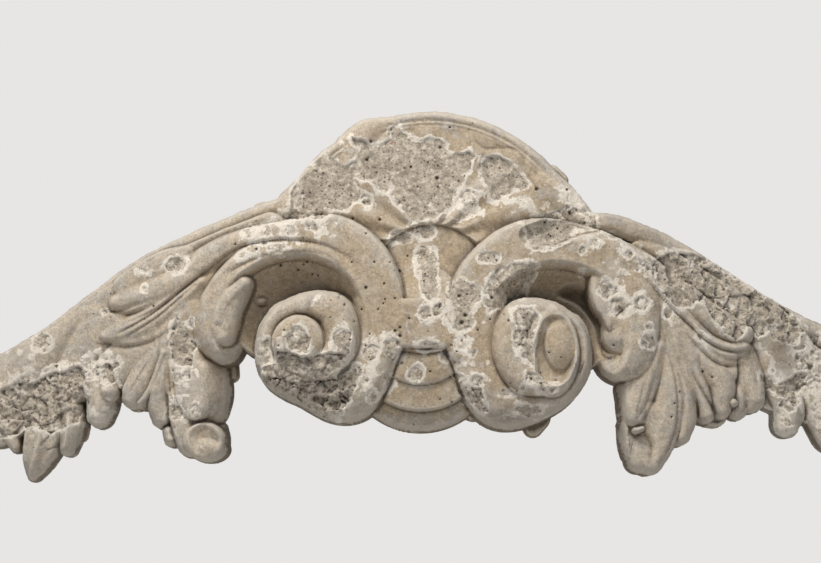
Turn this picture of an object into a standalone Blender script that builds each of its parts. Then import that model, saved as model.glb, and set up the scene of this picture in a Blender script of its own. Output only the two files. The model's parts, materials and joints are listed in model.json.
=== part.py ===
"""Cartouche: a scrolled crest of pale cast stone with an acanthus arm at each side.

The front is one relief. It is carved on an even grid, one line of the ornament at a time: lobes
stand up, hollows are cut back, and creases part one leaf from the next. The wall side is flat.
The frame has +X to the right, +Z up and the wall along y = 0, with the face of the relief towards
-Y. The origin is on the wall, on the centre line, level with the eyes of the scrolls.
"""

import bmesh
import bpy
import numpy as np

# Driving sizes, in millimetres. Heights are measured out from the wall.
LEFT_END = -532
RIGHT_END = 498
LOWEST = -185
HIGHEST = 295
GRID = 2.4
SHOULDER_SLOPE = 4.0
SHOULDER = 3.0
WALL_SLOPE = 24.0
GROUND = -45.0
BACKING = 60.0
BLEND = 4.0
TRIANGLES = 9400
FLAT_TOLERANCE = 0.15

# The crest is half an ellipse, with a rim, a sunk panel and a fan of shell flutes.
CREST_CENTRE = (7, 67)
CREST_HALF_WIDTH = 207
CREST_HALF_HEIGHT = 220
CREST_RIM = 63
CREST_PANEL = 61
RIM_WIDTH = 8
SHELL_CENTRE = (7, 128)
FLUTE_ANGLE = 23
FLUTE_DEPTH = 3.6
FLUTE_REACH = 120
RIM_LINES = ((10, 1.2), (15, 0.9))

# A scroll band is given by one row for each eighth of a turn, from the eighth above the side that
# faces the centre line, down and round to the eye: the distance from the eye to its inner edge and
# to its outer edge. The left scroll has the key -1 and the right one has 1.
SCROLL_EDGES = {
    -1: (
        (92, 142), (58, 113), (44, 112), (36, 70), (34, 64), (30, 56), (30, 55),
        (30, 58), (28, 72), (23, 66), (22, 54), (20, 43), (20, 40), (18, 33),
    ),
    1: (
        (86, 142), (56, 122), (54, 115), (42, 73), (30, 54), (25, 46), (26, 48),
        (30, 55), (28, 72), (23, 71), (24, 68), (24, 54), (22, 38), (18, 26),
    ),
}
SCROLL_START = 99
SCROLL_RISE = 2.5
# The cove over each scroll: the eighth, how far out its lip lies, and the height of its floor.
# Each cove is cut into a ground of one level, and its sides would all reach the same brim on average.
COVE_LIPS = {
    -1: ((4.4, 78, 66), (5, 97, 54), (6, 104, 42), (7, 100, 46), (8, 88, 66), (9, 76, 88), (9.6, 67, 99)),
    1: ((4.2, 76, 60), (5, 84, 50), (6, 96, 36), (7, 97, 42), (8, 90, 62), (9, 76, 86), (9.8, 72, 98)),
}
COVE_GROUND = 92
COVE_BRIM = 102
LEFT_EYE = (-145, 0)
RIGHT_EYE = (153, -7)
HUB_CROWN = 128

# The neck: three tongues, one under the other, each with its centre, half sizes, crown and drop.
NECK_TONGUES = (
    ((-4, 2), (98, 103), 78, 18),
    ((-4, -8), (78, 72), 84, 4),
    ((-4, -8), (54, 41), 91, 4),
)
KNOT_LEVEL = 20
WEDGE_CENTRE = (9, 76)
WEDGE_REACH = 70
WEDGE_FLOOR = 54


class Relief:
    """Heights above the wall on an even grid, with the carving tools that shape them."""

    def __init__(self, spacing):
        across = np.linspace(LEFT_END, RIGHT_END, round((RIGHT_END - LEFT_END) / spacing) + 1)
        up = np.linspace(LOWEST, HIGHEST, round((HIGHEST - LOWEST) / spacing) + 1)
        self.x, self.z = np.meshgrid(across, up, indexing="ij")
        self.height = np.full(self.x.shape, GROUND)

    def window(self, line, reach):
        """The part of the grid within reach of a line of points."""
        low = line[:, :2].min(axis=0) - reach
        high = line[:, :2].max(axis=0) + reach
        columns = slice(*np.searchsorted(self.x[:, 0], (low[0], high[0])))
        rows = slice(*np.searchsorted(self.z[0], (low[1], high[1])))
        return columns, rows

    def nearest(self, line, window):
        """For each grid point: the row of the line that holds it best, its distance and its side."""
        x, z = self.x[window], self.z[window]
        best = np.full(x.shape, -np.inf)
        found = np.zeros(x.shape, int)
        for index, (px, pz, width) in enumerate(line[:, :3]):
            inside = width - np.hypot(x - px, z - pz)
            closer = inside > best
            best[closer] = inside[closer]
            found[closer] = index
        heading = np.gradient(line[:, :2], axis=0)[found]
        away = np.stack((x, z), axis=-1) - line[found, :2]
        side = np.sign(heading[..., 0] * away[..., 1] - heading[..., 1] * away[..., 0])
        return best, found, side

    def lobe(self, rows, drop=10.0, fullness=2.4, blend=BLEND):
        """Raise a rounded lobe along rows of x, z, half width and crown height."""
        line = spline(rows)
        window = self.window(line, line[:, 2].max() + 20)
        inside, found, _ = self.nearest(line, window)
        width = line[found, 2]
        out = np.clip(1 - inside / width, 0, None)
        rise = line[found, 3] - drop * np.minimum(out, 1) ** fullness
        self.height[window] = smooth_max(self.height[window], rise - fall(-inside), blend)

    def hollow(self, rows, rise, fullness=2.0, blend=6.0):
        """Cut a rounded trough along rows of x, z, half width and floor height."""
        line = spline(rows)
        window = self.window(line, line[:, 2].max() + 20)
        inside, found, _ = self.nearest(line, window)
        out = np.clip(1 - inside / line[found, 2], 0, 1)
        floor = line[found, 3] + rise * out**fullness + SHOULDER_SLOPE * np.maximum(-inside, 0)
        self.height[window] = -smooth_max(-self.height[window], -floor, blend)

    def crease(self, rows, left=3.0, right=3.0):
        """Press in a line along rows of x, z and depth, with its own run-out on each side."""
        line = spline(rows)
        window = self.window(line, 4 * max(left, right))
        flat = line.copy()
        flat[:, 2] = 0
        inside, found, side = self.nearest(flat, window)
        reach = np.where(side > 0, left, right)
        self.height[window] -= line[found, 2] * np.exp(-((-inside / reach) ** 1.4))

    def dome(self, centre, halves, crown, drop=8.0, fullness=2.4, blend=BLEND, below=HIGHEST):
        """Raise an elliptical boss, or the part of one that lies below a level."""
        across, up = self.x - centre[0], self.z - centre[1]
        out = np.hypot(across / halves[0], up / halves[1])
        inside = (1 - out) * min(halves)
        rise = crown - drop * np.minimum(out, 1) ** fullness - fall(-inside)
        rise[self.z > below] = GROUND
        self.height = smooth_max(self.height, rise, blend)


def spline(rows):
    """A smooth curve through rows of numbers, about two millimetres between its points."""
    rows = np.array(rows, float)
    ends = np.vstack((2 * rows[0] - rows[1], rows, 2 * rows[-1] - rows[-2]))
    length = np.hypot(*np.diff(rows[:, :2], axis=0).T).sum()
    place = np.linspace(0, len(rows) - 1, max(8, round(length / 2)))
    start = np.minimum(place.astype(int), len(rows) - 2)
    t = (place - start)[:, None]
    a, b, c, d = (ends[start + step] for step in range(4))
    return b + (c - a + (2 * a - 5 * b + 4 * c - d + (3 * b - a - 3 * c + d) * t) * t) * t / 2


def fall(beyond):
    """How far an edge has dropped at a distance beyond it: a worn shoulder, then the wall."""
    beyond = np.maximum(beyond, 0)
    return SHOULDER_SLOPE * np.minimum(beyond, SHOULDER) + WALL_SLOPE * np.maximum(beyond - SHOULDER, 0)


def smooth_max(one, other, blend):
    """The greater of two heights, with the corner between them filleted."""
    overlap = np.maximum(blend - np.abs(one - other), 0)
    return np.maximum(one, other) + overlap**2 / (4 * blend)


def carve_crest(relief):
    """The domed panel above the scrolls: a rim, a shell with flutes, and the plain wedge below it."""
    across = (relief.x - CREST_CENTRE[0]) / CREST_HALF_WIDTH
    up = (relief.z - CREST_CENTRE[1]) / CREST_HALF_HEIGHT
    inside = (1 - np.hypot(across, up)) * CREST_HALF_WIDTH
    angle = np.degrees(np.arctan2(relief.z - SHELL_CENTRE[1], relief.x - SHELL_CENTRE[0])) - 90
    reach = np.hypot(relief.x - SHELL_CENTRE[0], relief.z - SHELL_CENTRE[1]) / FLUTE_REACH
    flute = FLUTE_DEPTH * np.cos(np.pi * angle / FLUTE_ANGLE) ** 2 * np.clip(1.7 - reach, 0.15, 1)
    panel = CREST_PANEL + flute * np.clip((inside - RIM_WIDTH) / 12, 0, 1)
    rim = CREST_RIM - 5 * np.clip(1 - inside / 6, 0, 1) ** 2
    for place, depth in RIM_LINES:
        rim -= depth * np.exp(-(((inside - place) / 1.4) ** 2))
    rise = panel + (rim - panel) * np.clip((RIM_WIDTH + 12 - inside) / 5, 0, 1)
    rise -= fall(-inside)
    rise[relief.z < CREST_CENTRE[1] - 60] = GROUND
    relief.height = smooth_max(relief.height, rise, BLEND)
    relief.lobe([(152, 197, 18, 66), (171, 181, 16, 66), (193, 157, 13, 66)], drop=5)
    relief.lobe([(-148, 193, 13, 64), (-165, 175, 13, 64)], drop=5)


def carve_bodies(relief):
    """The low masses under the leaves, down to both square ends."""
    relief.lobe(
        [(-540, -66, 49, 28), (-471, -46, 47, 34), (-409, -5, 49, 40), (-348, 29, 49, 47),
         (-286, 65, 44, 54), (-225, 102, 42, 58), (-152, 131, 37, 58), (-78, 141, 37, 58)], drop=4
    )
    relief.lobe(
        [(81, 135, 37, 58), (142, 129, 37, 58), (215, 102, 39, 58), (276, 55, 49, 54),
         (338, 19, 46, 48), (399, -15, 44, 41), (461, -41, 47, 35), (511, -56, 47, 32)], drop=4
    )
    relief.lobe([(0, 101, 61, 60), (0, 6, 68, 62)], drop=4)
    relief.lobe([(-212, 60, 32, 56), (-200, 29, 10, 50)], drop=4)
    relief.lobe([(203, 55, 32, 56), (208, 13, 10, 50), (215, -13, 7, 46)], drop=4)
    relief.lobe(
        [(-401, 29, 27, 50), (-359, 58, 27, 57), (-309, 88, 22, 66), (-254, 117, 17, 77),
         (-187, 143, 16, 84)], drop=4, blend=8
    )
    relief.lobe([(-427, -30, 22, 48), (-405, 0, 27, 53), (-370, 12, 29, 61)], drop=4, blend=8)
    relief.lobe(
        [(-253, 71, 36, 81), (-295, 32, 36, 74), (-338, -4, 34, 67),
         (-374, -28, 24, 60)], drop=5, blend=8
    )
    relief.lobe(
        [(263, 115, 12, 67), (290, 101, 19, 67), (330, 74, 22, 62),
         (379, 45, 22, 57)], drop=4, blend=8
    )
    relief.lobe(
        [(236, 82, 29, 89), (273, 47, 34, 82), (307, 11, 34, 76),
         (334, -21, 31, 68)], drop=5, blend=8
    )
    relief.lobe(
        [(386, 49, 27, 53), (429, 13, 32, 50), (459, -24, 32, 46),
         (509, -48, 29, 41)], drop=4, blend=8
    )


def carve_wedge(relief):
    """The plain wedge between the two bands, sunk under a round edge of the shell."""
    out = np.hypot(relief.x - WEDGE_CENTRE[0], relief.z - WEDGE_CENTRE[1]) - WEDGE_REACH
    floor = WEDGE_FLOOR + 3 * np.maximum(out, 0)
    relief.height = -smooth_max(-relief.height, -floor, 1.5)
    relief.lobe([(9, 121, 54, 58), (7, 100, 41, 68), (7, 77, 31, 82), (6, 55, 26, 97)], drop=0, blend=1)


def carve_left_arm(relief):
    """The plain upper edge of the left arm, and the leaf pods that lie along it."""
    relief.lobe(
        [(-534, -35, 16, 37), (-462, 6, 15, 43), (-409, 45, 15, 48), (-352, 86, 15, 54),
         (-303, 113, 15, 59), (-249, 136, 15, 65), (-201, 157, 13, 68), (-156, 171, 13, 68)], drop=6
    )
    relief.lobe(
        [(-533, -64, 32, 40), (-487, -36, 29, 45), (-447, 1, 23, 49),
         (-406, 36, 15, 51)], drop=7, blend=6
    )
    relief.lobe(
        [(-364, 72, 15, 55), (-341, 84, 17, 63), (-315, 98, 16, 70),
         (-292, 107, 12, 72)], drop=3, blend=14
    )
    relief.lobe(
        [(-388, 11, 9, 63), (-369, 15, 15, 67), (-337, 27, 19, 72), (-305, 49, 18, 78),
         (-271, 77, 13, 83)], drop=11, fullness=2.4, blend=3
    )
    relief.lobe(
        [(-372, 51, 13, 65), (-354, 54, 17, 70), (-332, 61, 18, 74), (-298, 77, 17, 80),
         (-265, 101, 18, 86), (-222, 121, 17, 93), (-168, 135, 14, 95), (-119, 134, 18, 96),
         (-87, 114, 22, 98)], drop=10, fullness=2.6, blend=3
    )
    relief.lobe(
        [(-320, -5, 10, 71), (-334, -28, 15, 71), (-347, -51, 16, 71),
         (-354, -64, 11, 68)], drop=9, blend=3
    )
    relief.lobe(
        [(-316, -10, 4, 74), (-325, -39, 4, 74), (-334, -59, 5, 71),
         (-344, -70, 4, 68)], drop=5, blend=1
    )
    relief.lobe([(-281, 35, 19, 78), (-307, 3, 19, 73)], drop=6, blend=8)


def carve_left_leaf(relief):
    """The leaf that hangs beside the left scroll, with its curled tip."""
    relief.lobe(
        [(-292, -1, 27, 73), (-287, -41, 29, 73), (-282, -61, 24, 72),
         (-290, -89, 17, 68)], drop=5, blend=8
    )
    relief.lobe(
        [(-287, -10, 18, 77), (-282, -34, 19, 81), (-280, -56, 20, 83),
         (-276, -74, 17, 84)], drop=6, fullness=3, blend=6
    )
    relief.lobe(
        [(-267, -29, 24, 81), (-266, -56, 26, 83),
         (-268, -74, 24, 83)], drop=30, fullness=1.5, blend=6
    )
    relief.lobe(
        [(-313, -17, 8, 72), (-321, -49, 12, 74), (-322, -70, 12, 73),
         (-319, -88, 10, 70)], drop=10, blend=2
    )
    relief.lobe([(-310, -105, 6, 65), (-308, -114, 6, 64)], drop=6)
    relief.lobe([(-292, -65, 16, 79), (-291, -94, 14, 77), (-284, -119, 13, 75)], drop=7, blend=8)
    relief.lobe([(-250, -100, 4, 41), (-248, -115, 5, 41), (-252, -128, 5, 39)], drop=2)
    relief.dome((-267, -116), (22, 20), 86, drop=8, fullness=3, blend=5)
    relief.hollow([(-263, -110, 19, 72), (-251, -122, 26, 70)], rise=9, fullness=2.2, blend=4)
    relief.dome((-263, -126), (17, 12), 80, drop=6, fullness=2, blend=6)


def carve_left_end(relief):
    """The broken leaf tips at the left end."""
    relief.lobe([(-444, -48, 27, 47), (-404, -40, 19, 56), (-389, -33, 15, 59)], drop=4, blend=8)
    relief.lobe([(-391, -28, 11, 60), (-384, -55, 11, 65)], drop=10, blend=3)
    relief.lobe(
        [(-404, -36, 15, 56), (-396, -65, 16, 62),
         (-398, -85, 12, 61)], drop=13, fullness=1.7, blend=10
    )
    relief.lobe(
        [(-444, -52, 22, 47), (-433, -81, 15, 53), (-434, -107, 11, 55),
         (-437, -125, 7, 53)], drop=13, fullness=1.3, blend=3
    )
    relief.lobe(
        [(-453, -72, 12, 46), (-452, -103, 11, 47), (-455, -122, 9, 45),
         (-464, -142, 6, 41)], drop=8, blend=3
    )
    relief.lobe(
        [(-476, -57, 24, 46), (-467, -91, 21, 51), (-468, -115, 21, 53), (-474, -139, 15, 52),
         (-479, -157, 6, 48)], drop=17, fullness=1.1, blend=2
    )
    relief.lobe([(-508, -81, 29, 39), (-507, -106, 11, 39), (-501, -123, 5, 36)], drop=6, blend=4)
    relief.lobe([(-536, -88, 24, 34), (-524, -98, 24, 35)], drop=6)
    relief.lobe([(-389, -68, 9, 33), (-390, -79, 7, 28)], drop=6)
    relief.lobe([(-425, -98, 9, 22), (-423, -109, 5, 19)], drop=5)
    relief.crease([(-416, 41, 0), (-432, 13, 6), (-444, -12, 7), (-454, -36, 5)], left=7, right=14)


def carve_left_band(relief):
    """The band that rises from the left arm, rolls over the cove and runs into the scroll."""
    relief.lobe(
        [(-253, 52, 17, 88), (-231, 81, 18, 94), (-195, 106, 23, 96), (-149, 119, 32, 97),
         (-111, 113, 41, 98), (-81, 91, 40, 99), (-60, 53, 35, 100),
         (-54, 9, 32, 101)], drop=6, fullness=7, blend=2
    )
    relief.lobe(
        [(-202, 93, 14, 93), (-229, 71, 22, 95), (-246, 42, 29, 94), (-249, 15, 29, 94),
         (-246, -1, 20, 93)], drop=18, fullness=3, blend=7
    )
    relief.lobe(
        [(-123, 79, 14, 95), (-104, 68, 17, 97), (-90, 49, 17, 99),
         (-86, 25, 14, 100)], drop=4, blend=8
    )


def carve_right_band(relief):
    """The band that rises from the right arm, rolls over the cove and runs into the scroll."""
    relief.lobe(
        [(299, 34, 19, 79), (272, 65, 24, 85), (242, 89, 28, 92), (206, 106, 31, 96),
         (157, 115, 34, 97), (118, 107, 38, 98), (81, 73, 40, 99), (62, 34, 34, 100),
         (57, 3, 31, 101)], drop=6, fullness=7, blend=2
    )
    relief.lobe([(226, 21, 18, 84), (226, 2, 17, 85), (233, -13, 16, 87)], drop=8, blend=14)
    relief.lobe(
        [(257, 64, 26, 91), (254, 32, 29, 94), (249, 6, 31, 96),
         (244, -12, 30, 95)], drop=13, fullness=3, blend=12
    )


def carve_right_arm(relief):
    """The plain upper edge of the right arm, and the two pods that lie along it."""
    relief.lobe(
        [(196, 152, 11, 68), (239, 145, 12, 67), (282, 128, 13, 62), (325, 105, 13, 57),
         (367, 79, 13, 52), (412, 51, 13, 47), (461, 24, 13, 42), (506, 4, 13, 38)], drop=6
    )
    relief.lobe(
        [(182, 124, 11, 92), (224, 117, 12, 91), (261, 100, 15, 85), (291, 76, 17, 80),
         (322, 52, 18, 76), (352, 30, 18, 73), (379, 16, 16, 69),
         (388, 13, 13, 67)], drop=10, fullness=2.4, blend=3
    )
    relief.lobe(
        [(288, 53, 7, 77), (321, 22, 10, 76), (348, 1, 11, 74), (370, -7, 11, 71),
         (386, -3, 11, 67)], drop=9, fullness=2.2, blend=3
    )


def carve_right_leaves(relief):
    """The fan of leaves that hangs from the right arm."""
    relief.lobe([(252, -53, 12, 70), (254, -72, 11, 71), (255, -89, 10, 71)], drop=6, blend=8)
    relief.lobe([(255, -49, 11, 81), (254, -73, 11, 83), (255, -89, 10, 81)], drop=6, blend=8)
    relief.lobe([(251, -97, 8, 64), (251, -118, 7, 64), (253, -132, 6, 64)], drop=2)
    relief.lobe([(299, 5, 36, 76), (299, -50, 27, 76), (294, -86, 22, 74)], drop=5, blend=8)
    relief.lobe([(349, -1, 29, 67), (356, -33, 24, 66)], drop=5, blend=8)
    relief.lobe([(274, -82, 12, 78), (269, -101, 11, 75)], drop=5, blend=8)
    relief.lobe([(351, -82, 13, 45), (358, -85, 11, 44)], drop=4)
    relief.lobe(
        [(299, -1, 14, 77), (298, -50, 17, 79), (293, -86, 19, 80), (283, -118, 18, 79),
         (273, -140, 14, 77)], drop=8, fullness=2.4, blend=5
    )
    relief.lobe(
        [(284, -2, 8, 80), (270, -37, 14, 85), (260, -66, 14, 86),
         (255, -85, 10, 84)], drop=9, fullness=2.0, blend=10
    )
    relief.lobe(
        [(267, -116, 13, 73), (263, -129, 12, 76),
         (263, -140, 12, 74)], drop=9, fullness=2.4, blend=4
    )
    relief.lobe([(246, -101, 1, 66), (246, -115, 1, 66), (248, -130, 1, 66)], drop=2, blend=1)
    relief.lobe(
        [(317, -19, 12, 74), (317, -62, 13, 76), (315, -89, 13, 74),
         (310, -108, 11, 72)], drop=8, blend=5
    )
    relief.lobe(
        [(319, -1, 10, 75), (328, -38, 11, 75), (337, -62, 10, 74),
         (343, -84, 8, 71)], drop=9, blend=4
    )
    relief.lobe(
        [(330, 7, 12, 74), (346, -24, 16, 73), (361, -48, 16, 72),
         (360, -77, 11, 69)], drop=9, blend=3
    )
    relief.lobe([(384, -9, 19, 59), (397, -38, 17, 59), (399, -63, 16, 59)], drop=9, blend=4)
    relief.lobe([(389, -40, 11, 58), (384, -63, 12, 59), (384, -77, 10, 58)], drop=9, blend=3)
    relief.lobe(
        [(419, -20, 17, 52), (436, -50, 18, 53), (448, -76, 17, 54),
         (445, -96, 13, 52)], drop=12, fullness=2.2, blend=4
    )
    relief.lobe([(465, -30, 22, 47), (487, -70, 24, 47), (507, -103, 27, 44)], drop=12, blend=4)
    relief.lobe([(374, -70, 4, 70), (378, -71, 2, 68)], drop=4, blend=1)
    relief.lobe([(255, -104, 2, 86), (262, -102, 2, 85)], drop=3, blend=1)


def carve_neck(relief):
    """The knot where the bands meet, and the three tongues that hang under it."""
    for centre, halves, crown, drop in NECK_TONGUES:
        relief.dome(centre, halves, crown, drop=drop, fullness=5, blend=0.8, below=KNOT_LEVEL)
    relief.lobe([(-23, 24, 29, 101), (25, 24, 29, 101)], drop=3, fullness=6, blend=2)


def around(eye, outward, eighth, reach):
    """A place at a distance from an eye. The first eighth of a turn faces the centre line."""
    angle = (np.asarray(eighth) - 1) * np.pi / 4
    return eye[0] - outward * reach * np.cos(angle), eye[1] - reach * np.sin(angle)


def carve_cove(relief, eye, outward):
    """The hollow over a scroll: deepest against the scroll, rising to the lip of the band."""
    eighth, lip, floor = np.array(COVE_LIPS[outward]).T
    outer = np.array(SCROLL_EDGES[outward])[:, 1]
    rim = np.interp(eighth, range(len(outer)), outer) - 3
    x, z = around(eye, outward, eighth, rim)
    filled = np.stack((x, z, lip - rim, 0 * lip + COVE_GROUND), axis=1)
    relief.lobe(filled[2:], drop=4)
    trough = np.stack((x, z, lip - rim, floor), axis=1)
    relief.hollow(trough, rise=COVE_BRIM - floor.mean(), fullness=1.7, blend=30)


def carve_scroll(relief, eye, outward):
    """One scroll: a band wound in on itself, rising to its eye."""
    edges = np.array(SCROLL_EDGES[outward], float)
    eighth = np.arange(len(edges))
    x, z = around(eye, outward, eighth, edges.mean(axis=1))
    width = (edges[:, 1] - edges[:, 0]) / 2
    crown = SCROLL_START + SCROLL_RISE * eighth
    band = np.stack((x, z, width, crown), axis=1)
    for turn, blend in ((band[:8], 1.0), (band[7:11], 12.0), (band[6:], 2.0)):
        relief.lobe(turn, drop=17, fullness=3.2, blend=blend)


def carve_hubs(relief):
    """The left hub is a round boss with a shallow dish; the right one an oval dish with a raised eye."""
    relief.dome((-150, 0), (30, 31), HUB_CROWN - 2, drop=8, fullness=4, blend=3.0)
    relief.hollow([(-150, 7, 15, 123), (-148, -1, 14, 123)], rise=3, blend=3)
    relief.lobe(
        [(-181, -28, 10, 110), (-162, -29, 14, 115), (-138, -29, 15, 117), (-114, -24, 13, 115),
         (-98, -18, 8, 112)], drop=4, fullness=4, blend=3
    )
    relief.dome((152, -12), (31, 50), HUB_CROWN - 6, drop=3, fullness=5, blend=2.0)
    relief.hollow(
        [(155, 14, 19, 115), (155, -7, 24, 110), (153, -31, 21, 110)], rise=9, fullness=5, blend=3
    )
    relief.dome((161, -3), (17, 29), HUB_CROWN - 6, drop=8, fullness=2.2, blend=9.0)


def carve_left_tongue(relief):
    """The two smaller tongues that lie on the one at the head of the left arm."""
    relief.lobe(
        [(-222, 69, 12, 92), (-238, 46, 17, 97), (-245, 22, 18, 98),
         (-243, 10, 13, 98)], drop=12, fullness=2.6, blend=5
    )
    relief.lobe(
        [(-219, 73, 10, 95), (-235, 56, 11, 99), (-245, 38, 11, 100),
         (-247, 27, 10, 100)], drop=10, fullness=2.6, blend=2
    )


def carve_leaf_tip(relief):
    """The small leaf tip that points down into the right cove."""
    relief.lobe([(238, 57, 20, 91), (238, 30, 20, 91), (237, 8, 19, 91)], drop=14, fullness=2, blend=14)
    relief.lobe(
        [(226, 76, 24, 92), (226, 57, 22, 92), (227, 40, 14, 91), (227, 25, 8, 90),
         (224, 17, 2, 86)], drop=3, fullness=5, blend=2
    )
    relief.crease([(215, 1, 1), (217, -11, 4), (224, -17, 4), (239, -12, 1)], left=1.5, right=3)


def carve_corners(relief):
    """The undercut corner over the right scroll, and the lump of mortar left in the left cove."""
    relief.hollow(
        [(158, 59, 6, 56), (173, 62, 10, 36), (190, 58, 11, 28), (205, 42, 11, 34),
         (213, 19, 10, 48), (216, -7, 7, 64)], rise=26, fullness=1.7, blend=8
    )
    relief.dome((-200, 54), (6.5, 4), 60, drop=4, blend=1)


def carve_mouldings(relief):
    """The fine lines along the bands and between the leaves."""
    relief.crease(
        [(-369, 25, 1), (-343, 34, 2.5), (-319, 47, 3), (-305, 58, 3), (-288, 70, 3), (-271, 82, 3),
         (-252, 97, 4), (-234, 110, 4), (-216, 118, 4), (-174, 125, 4), (-125, 120, 3),
         (-89, 102, 1)], left=1.6, right=5
    )
    relief.crease(
        [(-371, 14, 1), (-354, 23, 3), (-332, 36, 3.5), (-310, 52, 3.5), (-288, 70, 3),
         (-266, 88, 2)], left=1.2, right=2.2
    )
    relief.crease(
        [(-361, 10, 1), (-344, 20, 2.5), (-322, 34, 2.5), (-300, 52, 2.5),
         (-278, 71, 1.5)], left=1.2, right=2.2
    )
    relief.crease(
        [(-377, 41, 4), (-364, 43, 3), (-349, 48, 2.5), (-332, 53, 1.5),
         (-318, 59, 0)], left=4, right=2
    )
    relief.crease(
        [(-390, 2, 3), (-363, -2, 4), (-332, 4, 3), (-305, 19, 1.5), (-283, 38, 0)], left=2, right=7
    )
    relief.crease([(-328, -7, 0), (-336, -24, 2), (-352, -51, 2), (-358, -64, 0)], left=2, right=1.5)
    relief.crease([(-309, -10, 0), (-309, -38, 3), (-306, -68, 3), (-303, -87, 1)], left=4, right=1.5)
    relief.crease([(-304, -15, 0), (-302, -50, 2), (-300, -77, 2)], left=1.2, right=2)
    relief.crease(
        [(-240, 76, 0), (-222, 93, 2), (-180, 108, 2), (-125, 108, 1.5),
         (-93, 87, 0.5)], left=1.6, right=5
    )
    relief.crease(
        [(-287, 87, 3), (-286, 99, 4), (-279, 113, 4), (-265, 122, 3), (-229, 137, 3),
         (-196, 146, 3), (-160, 149, 0)], left=6, right=3
    )
    relief.crease([(177, 138, 0), (213, 130, 4), (249, 120, 5), (289, 102, 3)], left=6, right=6)
    relief.crease(
        [(260, 82, 0), (279, 65, 3), (305, 38, 5), (321, 23, 6), (338, 7, 6), (358, -5, 6),
         (378, -9, 5), (394, -7, 3)], left=2.5, right=3.5
    )
    relief.crease([(314, 46, 0), (334, 27, 3), (352, 11, 3), (370, 3, 3), (387, 1, 1)], left=3, right=2)
    relief.crease(
        [(318, 10, 1), (334, -6, 4), (350, -20, 5), (366, -26, 4), (386, -24, 2)], left=2.5, right=4
    )
    relief.crease(
        [(285, 29, 0), (294, -8, 1.5), (303, -44, 3), (305, -70, 3.5), (303, -100, 3.5),
         (293, -128, 3), (283, -144, 1)], left=3, right=1.6
    )
    relief.crease(
        [(299, -10, 0), (309, -44, 2.5), (313, -70, 3), (309, -101, 3),
         (303, -123, 2)], left=1.6, right=3
    )
    relief.crease(
        [(291, 26, 0), (299, -1, 2), (313, -32, 3), (324, -58, 4), (330, -82, 4)], left=6, right=5
    )
    relief.crease(
        [(309, 11, 0), (321, -27, 3), (336, -56, 6), (350, -77, 7),
         (361, -95, 5)], left=2.5, right=5
    )
    relief.crease([(278, -34, 0), (273, -58, 2), (262, -82, 2), (251, -97, 0)], left=1.5, right=4)
    relief.crease([(268, -27, 0), (262, -56, 1.5), (255, -82, 1.5)], left=4, right=1.5)
    relief.crease([(265, -105, 3), (273, -123, 7), (272, -143, 3)], left=5, right=4)
    relief.crease([(372, -33, 0), (386, -52, 2.5), (393, -69, 3), (385, -86, 2)], left=3, right=4)
    relief.crease([(398, -26, 0), (404, -43, 2), (405, -62, 1)], left=2, right=3)
    relief.crease(
        [(57, 264, 0.5), (64, 251, 1.4), (75, 242, 1.4), (93, 243, 1.2), (111, 241, 1.4),
         (123, 230, 1.6), (126, 212, 1.4), (135, 195, 1)], left=1.2, right=3
    )


def carve_neck_edges(relief):
    """The crisp edges of the two bands where they meet over the tongues."""
    relief.crease(
        [(-27, -11, 5), (-34, -28, 6), (-42, -50, 6), (-52, -68, 6),
         (-64, -84, 5)], left=3.5, right=1.2
    )
    relief.crease(
        [(27, -11, 5), (34, -28, 6), (42, -50, 6), (49, -65, 6), (59, -83, 6),
         (69, -93, 4)], left=1.2, right=3.5
    )
    relief.crease(
        [(-27, -9, 5), (-15, -11, 4), (1, -13, 4), (15, -11, 4), (27, -9, 5)], left=1.2, right=3
    )


def carve_backs(relief):
    """Thin ragged slips that stand out past the face at the wall."""
    relief.lobe([(-243, -24, 10, 34), (-238, -34, 6, 30)], drop=4)
    relief.lobe([(138, -85, 16, 34), (135, -99, 9, 34)], drop=2)
    relief.lobe([(-60, -74, 9, 46), (-54, -81, 5, 42)], drop=4)
    relief.lobe([(51, -75, 9, 46), (61, -82, 6, 42)], drop=4)
    relief.lobe([(-93, 245, 15, 64), (-71, 260, 17, 66), (-51, 270, 11, 64)], drop=7)
    relief.lobe([(158, 214, 9, 52), (168, 204, 9, 50)], drop=6)
    relief.lobe([(-198, 166, 10, 58), (-181, 168, 9, 60)], drop=6)


def carve_breaks(relief):
    """The large broken places: the face is lost there to a shallow depth."""
    relief.hollow(
        [(-140, 178, 25, 58), (-115, 203, 27, 57), (-72, 222, 30, 57), (-29, 216, 37, 57),
         (20, 209, 34, 57), (47, 222, 15, 58)], rise=3, blend=1.5
    )
    relief.hollow([(81, 213, 15, 57), (103, 201, 17, 57)], rise=3, blend=1.5)
    relief.hollow(
        [(-179, -54, 13, 99), (-150, -69, 23, 101), (-117, -71, 21, 100),
         (-89, -54, 17, 101)], rise=5, fullness=4, blend=2
    )
    relief.hollow(
        [(125, 134, 11, 90), (153, 143, 17, 82), (184, 156, 17, 72),
         (205, 157, 15, 68)], rise=6, blend=8
    )
    relief.hollow(
        [(302, 94, 12, 65), (343, 77, 22, 61), (386, 49, 24, 55),
         (436, 26, 20, 44)], rise=9, blend=4
    )
    relief.hollow([(-506, -72, 20, 38), (-457, -66, 27, 42), (-425, -54, 17, 46)], rise=6, blend=3)


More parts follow.
